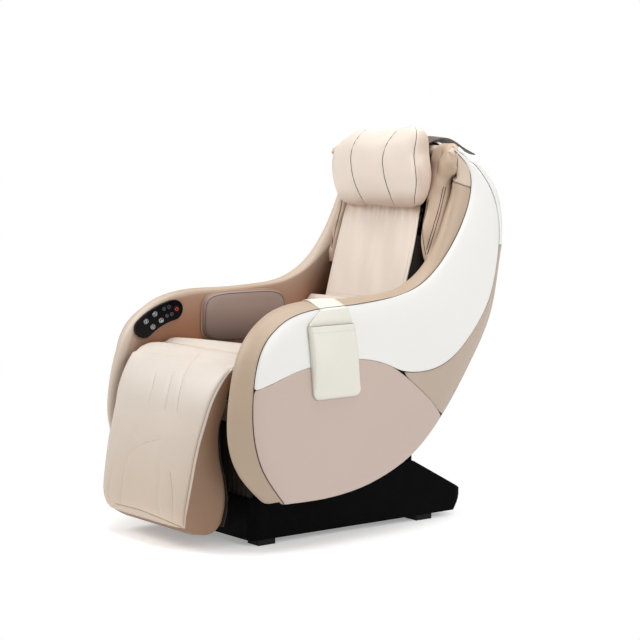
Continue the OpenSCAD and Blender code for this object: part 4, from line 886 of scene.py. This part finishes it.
xs = [FLAP_W * (i / 120 - 0.5) for i in range(121)]
rows = [lerp(FLAP_LOW, FLAP_TOP, i / 70) for i in range(71)]
faces = [[[flap_pt(x, a, b) for x in xs] for a in rows] for b in (0, FLAP_T)]
flap = plate("flap", *faces, "beige_leather", *BEIGE, ("back_flap",))


def flap_shade_share(i, co):
    """Painted shade in the valleys of the gathers, and painted shadow close under the pillow towards its ends."""
    i %= len(xs) * len(rows)
    f, x = (i // len(xs)) / (len(rows) - 1), xs[i % len(xs)]
    ridge = max(exp(-((x - c * (0.86 + 0.14 * f)) / (w * 0.8)) ** 2) for c, w, h, share in GATHERS)
    return 0.3 * (1 - ridge) * smooth((f - 0.74) / 0.26) + 0.5 * smooth((f - 0.8) / 0.2) * smooth((abs(x) - 60) / 80)


paint_shade(flap, flap_shade_share)
hems = [[flap_pt(x, FLAP_LOW + HEM, -THREAD_SINK) for x in xs[3:-3]]]
hems += [[flap_pt(side * (FLAP_W / 2 - HEM), a, -THREAD_SINK) for a in rows[3:]] for side in (-1, 1)]
for k, line in enumerate(hems):
    dashes("flap_stitch_%d" % k, line, "seam_light", *BEIGE, 0.0045, 0.0004)

# ---- Pillow ----

# Share of the width, top, bottom, front and rear of the pillow
PILLOW = [(-0.96, 924, 888, 268, 286), (-0.945, 938, 870, 260, 292), (-0.89, 954, 846, 250, 298),
          (-0.81, 966, 824, 242, 301), (-0.66, 980, 808, 233, 303), (-0.34, 1003, 803, 226, 303),
          (0, 999, 806, 222, 303), (0.34, 1004, 803, 226, 303), (0.66, 1011, 803, 233, 303),
          (0.79, 1010, 806, 240, 302), (0.88, 999, 820, 248, 300), (0.935, 972, 850, 258, 294),
          (0.955, 940, 880, 268, 287)]
PILLOW_W, PILLOW_Z = 396, 904
# The three seams on the pillow's face, in pixels
PILLOW_SEAMS = [
    [(365.8, 129.7), (356.7, 136.7), (350.8, 148.3), (349.5, 160),
     (350.8, 171.7), (355, 186.7), (360, 196.7), (365.8, 205)],
    [(394.7, 132), (387.5, 140), (382.5, 151.7), (381.3, 161.7),
     (383.3, 176.7), (387.5, 190), (390.8, 199.2), (394.2, 205.8)],
    [(414.2, 125.5), (417, 130), (415.8, 141.7), (413.3, 153.3),
     (414.7, 165), (416.3, 180), (415.3, 191.7), (413.3, 201.7)]]


def pillow_pt(u, b):
    """A place on the pillow: u across, b round it."""
    k = along(PILLOW, u)
    c, d = cos(b), sin(b)
    z = PILLOW_Z + (k[1] - PILLOW_Z if c > 0 else PILLOW_Z - k[2]) * bent(c, 0.85)
    y = (k[3] + k[4]) / 2 - (k[4] - k[3]) / 2 * bent(d, 0.85)
    x = k[0] * PILLOW_W / 2
    # Puckers where the cloth is gathered towards the lower seam, and a dent in the left end
    low = smooth((862 - z) / 50) * max(0, d)
    y -= 2.4 * low * ripple(x / 13, z / 60, 2) + 1.6 * ripple(x / 60, z / 50, 7) * max(0, d)
    x -= 13 * exp(-((z - 938) / 30) ** 2) * smooth((x - 140) / 46) * smooth((310 - y) / 24)
    return mm((x, min(y, 215 + (z - 580) * tan(BACK) - 0.1), z))


def carried_on(tree, line):
    """A seam that runs on over the top and under the pillow."""
    low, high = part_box("head_pillow")
    first, last = line[0], line[-1]
    over = [Vector((lerp(first.x, first.x * 0.98, f), lerp(first.y, high.y - 0.006, f), high.z + 0.02))
            for f in (0.8, 0.6, 0.4, 0.2, 0.05)]
    under = [Vector((last.x, lerp(last.y, high.y - 0.01, f), low.z - 0.02)) for f in (0.05, 0.25, 0.5)]
    return eased(put_on(tree, over, 0) + line + put_on(tree, under, 0), 6)


rings = [[pillow_pt(0.5 - 0.5 * cos(pi * i / 150), 2 * pi * k / 120) for k in range(120)] for i in range(151)]
pillow = loft("pillow", rings, "beige_leather", "pillow", "beige_leather", ("head_pillow",))
tree = surface(pillow)
lines = [carried_on(tree, eased(seen(tree, seam))) for seam in PILLOW_SEAMS]
lines.append(put_on(tree, mirrored(lines[2], -1), 0))
press_in(pillow, lines, 0.008, 0.0036)
tree = surface(pillow)
for k, line in enumerate(lines):
    tube("pillow_seam_%d" % k, eased(laid(tree, line)), 0.0008, "seam_dark", "pillow", "beige_leather")
# Painted shade at both ends of the pillow and along its bottom.
paint_shade(pillow, lambda i, co: 0.42 * smooth((abs(co.x) - 0.166) / 0.02) + 0.5 * smooth((0.852 - co.z) / 0.05))

# ---- Strap over the top ----

# Depth and height of the strap's middle, from the pillow over the top to its loose end
STRAP = [(318, 923), (322, 948), (332, 965), (347, 972), (366, 978), (386, 981), (411, 978), (436, 968), (460, 955),
         (482, 945), (504, 936)]
STRAP_W, STRAP_T = 236, 3.3


def strap_pt(x, t, d):
    """x across the strap, t along it, d through its thickness."""
    p, o, q = along(STRAP, t), along(STRAP, max(0, t - 0.02)), along(STRAP, min(1, t + 0.02))
    l = hypot(q[0] - o[0], q[1] - o[1])
    lift = 7 * (1 - (2 * x / STRAP_W) ** 2) * min(1, max(0, (p[0] - 350) / 60)) + 3 * smooth((t - 0.45) / 0.2)
    return mm((x, p[0] + d * (q[1] - o[1]) / l, p[1] - d * (q[0] - o[0]) / l + lift))


xs = [STRAP_W * (i / 60 - 0.5) for i in range(61)]
faces = [[[strap_pt(x, j / 60, d) for x in xs] for j in range(61)] for d in (0, STRAP_T)]
strap = plate("strap", *faces, "strap_leather", "cradle", "strap_leather", ("pillow_strap",))
for k, x in enumerate((-112, 112)):
    line = [strap_pt(x, j / 60, -0.2) for j in range(2, 59)]
    dashes("strap_stitch_%d" % k, line, "seam_tan", "cradle", "strap_leather", 0.005, 0.0005)

# ---- Side pouch ----

POUCH_TOP, POUCH_H, POUCH_W, POUCH_D, POUCH_WALL = 536, 178, 146, 16, 1.8
LOW_CORNER, LOW_EDGE = 20, 16
BACK_PLACES, FACE_PLACES = 17, 40
POUCH_THREAD = ("seam_pouch", "cradle", "pouch_leather", 0.0045, 0.0004)


def rounding(r, height):
    """How far a corner of radius r has drawn in at a height over the lowest place."""
    return r - sqrt(max(0, r ** 2 - max(0, r - height) ** 2))


def pouch_ring(f, g=0.0):
    """Round the pouch a share f down from its mouth, g outside its skin."""
    z, height = POUCH_TOP - f * POUCH_H, (1 - f) * POUCH_H
    mid, half = -130.5 + 14 * f, POUCH_W / 2 * (0.955 + 0.075 * f) - rounding(LOW_CORNER, height) + g
    depth = (POUCH_D + 4) * (0.62 + 0.38 * sin(pi * min(1, f + 0.12))) - 0.8 * rounding(LOW_EDGE, height) + g
    back = PANEL_CROWN + GAP - g
    ring = [side_pt(back, (mid + half * (1 - 2 * k / (BACK_PLACES - 1)), z)) for k in range(BACK_PLACES)]
    for k in range(1, FACE_PLACES):
        a = pi * k / FACE_PLACES
        c = cos(a)
        out = (depth - 1 + g) * sin(a) ** 0.42
        out += 0.8 * ripple(mid / 30 + c * 2.2, z / 45, 5) * sin(a)
        ring.append(side_pt(back + 1 + out, (mid - half * bent(c, 0.6), z)))
    return [mm(p) for p in ring]


fs = [0, 0.004] + [0.02 + 0.86 * i / 40 for i in range(41)]
fs += [0.895, 0.91, 0.925, 0.94, 0.953, 0.965, 0.976, 0.985, 0.992, 0.997, 1]
outside = [pouch_ring(f) for f in reversed(fs)]
inside = [pouch_ring(f, -POUCH_WALL) for f in reversed(fs[:-3])]
bag = loft("pouch", outside + inside, "pouch_leather", "cradle", "pouch_leather", ("side_pouch",))
bag.data.materials.append(M["pouch_inside"])
for p in bag.data.polygons:
    if min(p.vertices) >= len(outside) * len(outside[0]):
        p.material_index = 1
hems = [pouch_ring(0.085)[BACK_PLACES - 1:]]
hems += [[pouch_ring(f)[BACK_PLACES - 1 + place] for f in fs[4:-12]] for place in (5, FACE_PLACES - 5)]
for k, line in enumerate(hems):
    dashes("pouch_stitch_%d" % k, shifted(line, 0.0003), *POUCH_THREAD)


def strap_line(f, d):
    """Along the pouch's strap, from the arm's inner side to the pouch; f across it, d over the leather."""
    t, y = lerp(0.435, 0.476, f), lerp(-199, -63, f)
    s = along(FRONT, t)
    pts = [roll_pt(t, lerp(0.965, 0.03, i / 33), roll_out(t) + 0.8 + d) for i in range(34)]
    for down in (3, 9, 19):
        p = (lerp(s[0], y, down / 36), s[1] - down)
        pts.append(side_pt(bulge(p) + 2.6 + d, p))
    pts += [side_pt(PANEL_CROWN + GAP + d, (y, POUCH_TOP + z)) for z in (2, -24)]
    return [mm(along(pts, k / 90)) for k in range(91)]


cols = [i / 30 for i in range(31)]
faces = [[strap_line(f, d + swell * sin(pi * f)) for f in cols] for d, swell in ((2.3, 0.5), (0.4, 0))]
band = plate("pouch_strap", *faces, "pouch_leather", "cradle", "pouch_leather")
for k, f in enumerate((0.05, 0.95)):
    dashes("pouch_strap_stitch_%d" % k, shifted(strap_line(f, 2.5)[:84], 0.0002, 0.0002), *POUCH_THREAD)

# ---- Leg rest ----

# Half width, y and z of the pad's edge, from the knee to the foot
LEG_SEAM = [(222, -358, 435), (215, -381, 404), (208, -404, 358), (201, -420, 305), (197, -437, 248),
            (194, -450, 186), (190, -462, 121), (184, -465, 86), (172, -459, 60)]
# y and z of the gusset's rear line
LEG_REAR = [(-346, 418), (-352, 380), (-356, 345), (-366, 310), (-369, 270), (-364, 215), (-352, 168), (-345, 121),
            (-348, 84), (-358, 52), (-384, 33), (-425, 36)]
LEG_CROWN, LEG_T, KNEE_EDGE = 20, 24, 75
# Rise of the pad's middle at angles round the knee, from under the seat's lip
KNEE_RISE = ((50, 5.6), (64, 6.2), (78, 6.2), (97.3, 6.2), (116.6, 6.3), (131, 6.8))
# Seams and soft lines on the pad's face, in pixels
LEG_LINES = [
    [(155.5, 372.9), (152, 388), (147.8, 403.5)],
    [(171.7, 374.8), (167.6, 393), (164.1, 411.1)],
    [(199.5, 353.7), (191, 362), (184.2, 372.9), (179, 392), (176.5, 413)],
    [(159.3, 438.9), (143, 443), (128.7, 451.3), (122.5, 475), (120.1, 503)],
    [(169.8, 472.4), (172.2, 495), (172.7, 518.3)]]
LOW_SEAM = [(115.3, 503.9), (138.3, 509.7), (160, 518.5), (184.2, 528.8)]
LEG = ("legrest", "beige_leather")


def bump(x, n, m):
    """1 in the middle, 0 at x = 1 or -1."""
    return max(0, 1 - abs(x) ** n) ** (1 / m)


def leg_stations():
    """Half width, y, z, outward y and z, and rise of the pad's middle, from the seat's lip to the foot."""
    stations = []
    for a, h in KNEE_RISE:
        c, s = cos(radians(a)), sin(radians(a))
        stations.append((LEG_SEAM[0][0], HINGE[0] + KNEE_EDGE * c, HINGE[1] + KNEE_EDGE * s, c, s, h))
    for i in range(12):
        f = i / 11
        d = Vector((-1, 0.16 + 0.6 * (1 - f) ** 3 - 0.5 * f ** 6)).normalized()
        rise = 7 + (LEG_CROWN - 7) * bump((i + 4) / 15 * 2 - 1, 3, 1)
        rise = 7.5 + (rise - 7.5) * (0.1, 0.55, 0.85, 1)[min(i, 3)]
        stations.append(tuple(along(LEG_SEAM, f)) + (d.x, d.y, rise))
    return stations


STATIONS = leg_stations()


def leg_pt(u, w, side=1):
    """side 1 is the outer face of the pad, -1 its underside."""
    k = along(STATIONS, u)
    if side > 0:
        soft = 0.9 * ripple(w * 4.5, u * 9, 4) * bump(w, 6, 1) * smooth((u - 0.36) / 0.2)
        lift, x = (k[5] + soft) * bump(w, 5, 2), w * k[0]
    else:
        lift, x = -(LEG_T - 8) * bump(w * 0.99, 12, 2), w * (k[0] - 1)
    return mm((x, k[1] + k[3] * lift, k[2] + k[4] * lift))


ws = [sin(pi / 2 * j / 40) for j in range(-40, 41)]
faces = [[[leg_pt(i / 120, w, side) for w in ws] for i in range(121)] for side in (1, -1)]
leg = plate("leg_pad", *faces, "leg_leather", *LEG, ("legrest_pad",))
tree = surface(leg)
lines = [eased(seen(tree, line, 8)) for line in LEG_LINES]
mirror_lines = [put_on(tree, mirrored(line, -1), 0) for line in lines[3:]]
press_in(leg, lines + mirror_lines, 0.006, 0.0016)
hem = [leg_pt(u / 100, 0.984) for u in range(29, 99)]
low = seen(tree, LOW_SEAM, 10)
press_in(leg, [hem, low], 0.005, 0.0016)
tree = surface(leg)
tube("leg_seam_low", laid(tree, low), 0.0008, "seam_tan", *LEG)
for side, word in SIDES:
    path = laid(tree, hem, side, 0.0002)
    tube("leg_hem_" + word[0], eased(path), 0.0006, "seam_tan", *LEG)
    stitches = put_on(tree, shifted(path, -0.0042 * side), 0.0003)
    dashes("leg_stitch_" + word[0], stitches, "seam_light", *LEG, 0.0048, 0.0005)
for k, line in enumerate(lines):
    tube("leg_line_%d" % k, laid(tree, line, 1, -0.0001), 0.0005, "seam_light", *LEG)


def gusset_ring(u):
    """Round the gusset, from one edge of the pad over the sides and the rear to the other."""
    f, r = along(LEG_SEAM, 0.03 + 0.97 * u), along(LEG_REAR, u)
    deep = hypot(r[0] - f[1], r[1] - f[2])
    corner = min(22, deep * 0.45)
    side = []
    for j in range(25):
        v = 0.5 - 0.5 * cos(pi * j / 24)
        half = f[0] - 0.6 + 2.5 * sin(pi * v) - rounding(corner, (1 - v) * deep) - 5 * v * v
        side.append((half, lerp(f[1] + 1, r[0], v), lerp(f[2], r[1], v)))
    rear = [(side[-1][0] * k / 8, side[-1][1], side[-1][2]) for k in range(7, -8, -1)]
    front = [(side[0][0] * k / 8, side[0][1] + 10, side[0][2]) for k in range(-7, 8)]
    return [mm(p) for p in side + rear + [(-x, y, z) for x, y, z in reversed(side)] + front]


core = loft("leg_gusset", [gusset_ring(i / 90) for i in range(91)], "gusset_leather", "legrest", "tan_leather",
            ("legrest_core",))
cover = remeshed("leg_back_cover", "legrest_back", "skirt_cloth", "legrest", 0.002, 2)

# ---- Pleated skirt ----

SKIRT_HALF, SKIRT_Y, SKIRT_LOW, SKIRT_HIGH, PLEAT = 200, -286, 115.3, 291.7, 20


def skirt_pt(x, z, b):
    """x across the pleats, b through the cloth."""
    pleat = 4 * abs(((x / PLEAT) % 1) * 2 - 1) * 2 - 4
    return mm((x, SKIRT_Y + pleat * (0.92 + 0.1 * ripple(x / PLEAT, z / 40, 1)) + b, z))


zs = [lerp(SKIRT_LOW, SKIRT_HIGH, i / 13) for i in range(14)]
faces = [[[skirt_pt(x, z, b) for x in range(-SKIRT_HALF, SKIRT_HALF + 1)] for z in zs] for b in (-1, 1)]
skirt = plate("skirt", *faces, "skirt_cloth", "base", "skirt_cloth", ("dust_skirt",))

# ---- Signs on the keys ----

KEY_BACK = Vector((-0.996288, 0.073163, 0.045363))
KEY_TURN = radians(27)


def circle(r, x=0, y=0, n=28, a=0, b=360):
    """A circle or a part of one, from angle a to angle b."""
    turns = [radians(lerp(a, b, i / n)) for i in range(n + 1)]
    return [(x + r * cos(t), y + r * sin(t)) for t in turns]


def key_frame(node):
    """Middle of a key's face, its outward direction, and its right and up as the sitter sees them."""
    lo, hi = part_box(node)
    out = -KEY_BACK.normalized()
    up = Vector((0, 0, 1))
    up = (up - out * up.dot(out)).normalized()
    right = up.cross(out)
    e, f = right * cos(KEY_TURN) + up * sin(KEY_TURN), up * cos(KEY_TURN) - right * sin(KEY_TURN)
    return (lo + hi) / 2 + out * 0.0016, out, e, f


def strokes(name, node, lines, width, material):
    """Flat strokes on a key's face; the places are in millimetres from its middle."""
    mid, out, right, up = key_frame(node)
    verts, faces = [], []
    for line in lines:
        n = len(line)
        for i, (x, y) in enumerate(line):
            if line[0] == line[-1]:
                p, q = line[(i - 1) % (n - 1)], line[(i + 1) % (n - 1)]
            else:
                p, q = line[max(0, i - 1)], line[min(n - 1, i + 1)]
            dx, dy = q[0] - p[0], q[1] - p[1]
            l = hypot(dx, dy) or 1
            for s in (-1, 1):
                u, v = x - s * dy / l * width / 2, y + s * dx / l * width / 2
                verts += [mid + (right * u + up * v) / 1000 + out * h for h in (0.00005, 0.00022)]
        base = len(verts) - 4 * n
        for i in range(n - 1):
            b = base + 4 * i
            for quad in ((1, 5, 7, 3), (0, 2, 6, 4), (0, 4, 5, 1), (2, 3, 7, 6)):
                faces.append(tuple(b + k for k in quad))
        faces.append(tuple(base + k for k in (0, 1, 3, 2)))
        faces.append(tuple(base + 4 * n - k for k in (4, 2, 1, 3)))
    add(name, verts, faces, material, node, (), False)


MODE_SIGNS = [
    [circle(1.0, 0, 2.6, 12), [(0, 1.2), (0, -1.6)], [(-2, 0.4), (2, 0.4)],
     [(0, -1.6), (-1.6, -3.6)], [(0, -1.6), (1.6, -3.6)]],
    [circle(1.0, -1.2, 2.4, 12), [(-1.4, 1.2), (0.6, -1.6), (2.6, -1.6)],
     [(-1, 0.4), (1.8, 1)], [(2.6, -1.6), (3, -3.6)]],
    [circle(1.6, 0, 0, 14), [(-3.4, 0), (-2.2, 0)], [(2.2, 0), (3.4, 0)],
     [(0, 2.2), (0, 3.4)], [(0, -2.2), (0, -3.4)]],
    [circle(3.2, 0, 0, 16, 200, 340), circle(1.6, 0, -0.3, 12, 200, 340),
     [(0, 3), (0, -0.6)], [(-1.2, 0.6), (0, -0.8), (1.2, 0.6)]]]
SMALL_SIGNS = [[[(-2, 0), (2, 0)], [(0, -2), (0, 2)]], [[(-2, 0), (2, 0)]], [circle(2, 0, 0, 12, 30, 330)],
               [[(-2, -1), (0, 1.4), (2, -1)]]]
dots = [circle(0.35, 7.2 * cos(radians(a)), 7.2 * sin(radians(a)), 6) for a in (140, 165, 190, 215)]
for k, sign in enumerate(MODE_SIGNS, 1):
    strokes("icon_mode_%d" % k, "key_mode_%d" % k, [circle(5.4)] + dots + sign, 0.66, "icon_light")
for k, sign in enumerate(SMALL_SIGNS, 1):
    strokes("icon_small_%d" % k, "key_small_%d" % k, [circle(4.3)] + sign, 0.6, "icon_dim")
strokes("icon_power", "key_power", [circle(3.8, 0, 0, 24, 125, 415), [(0, 1.4), (0, 5)]], 1.15, "icon_red")

# ---- Light and floor ----

WHITE = (1, 1, 1, 1)


def chosen(tree, share, a, b, end):
    """Leads a mix of two shaders, b by its share, to the end node."""
    mix = tree.nodes.new("ShaderNodeMixShader")
    for k, output in enumerate((share, a.outputs[0], b.outputs[0])):
        tree.links.new(output, mix.inputs[k])
    tree.links.new(mix.outputs[0], tree.nodes[end].inputs["Surface"])


def light_world():
    """Soft light from all round, in front of plain white."""
    world = scene.world = bpy.data.worlds.new("world")
    world.use_nodes = True
    nodes = world.node_tree.nodes
    sky = valued(nodes["Background"], {"Color": WHITE, "Strength": 0.42})
    white = valued(nodes.new("ShaderNodeBackground"), {"Color": WHITE, "Strength": 1.0})
    camera_ray = nodes.new("ShaderNodeLightPath").outputs["Is Camera Ray"]
    chosen(world.node_tree, camera_ray, sky, white, "World Output")


def floor_material():
    """Pale floor that takes the shadow and turns to plain white further out."""
    m = bpy.data.materials.new("floor")
    m.use_nodes = True
    nodes, links = m.node_tree.nodes, m.node_tree.links
    pale = valued(nodes["Principled BSDF"], {
        "Base Color": (0.93, 0.93, 0.93, 1), "Roughness": 0.9, "Specular IOR Level": 0.1,
        "Emission Color": WHITE, "Emission Strength": 0.3})
    white = valued(nodes.new("ShaderNodeEmission"), {"Color": WHITE, "Strength": 1.0})
    socket = nodes.new("ShaderNodeTexCoord").outputs["Object"]
    for kind, value in (("ADD", (0, 0.12, 0)), ("MULTIPLY", (1.3, 0.85, 1))):
        step = nodes.new("ShaderNodeVectorMath")
        step.operation = kind
        step.inputs[1].default_value = value
        links.new(socket, step.inputs[0])
        socket = step.outputs["Vector"]
    length = nodes.new("ShaderNodeVectorMath")
    length.operation = "LENGTH"
    links.new(socket, length.inputs[0])
    fade = valued(nodes.new("ShaderNodeMapRange"), {"From Min": 0.4, "From Max": 0.6})
    links.new(length.outputs["Value"], fade.inputs["Value"])
    chosen(m.node_tree, fade.outputs["Result"], pale, white, "Material Output")
    return m


def lay_floor():
    mesh = bpy.data.meshes.new("floor")
    bm = bmesh.new()
    bmesh.ops.create_grid(bm, x_segments=2, y_segments=2, size=14)
    bm.to_mesh(mesh)
    bm.free()
    mesh.materials.append(floor_material())
    floor = bpy.data.objects.new("floor", mesh)
    scene.collection.objects.link(floor)
    floor.location = (0, 0, -0.0005)


def softbox(name, place, aim, size, power, tint=(1, 1, 1)):
    """A rectangular lamp turned to a place."""
    lamp = bpy.data.lights.new(name, "AREA")
    lamp.shape = "RECTANGLE"
    lamp.size, lamp.size_y = size
    lamp.energy, lamp.color = power, tint
    obj = bpy.data.objects.new(name, lamp)
    scene.collection.objects.link(obj)
    obj.location = place
    obj.rotation_euler = (Vector(aim) - Vector(place)).to_track_quat("-Z", "Y").to_euler()


light_world()
lay_floor()
softbox("front_box", (-1.7, -2.6, 2.9), (0, 0, 0.5), (2.4, 1.8), 66, (1, 0.99, 0.97))
softbox("side_box", (3.2, 0.3, 2.2), (0, 0, 0.5), (2.2, 2.0), 46)
softbox("top_box", (0.1, 0.2, 3.2), (0, 0, 0.4), (2.8, 2.8), 62)
softbox("rear_box", (-1.2, 3.2, 2.2), (0, 0, 0.6), (2.4, 1.8), 22)
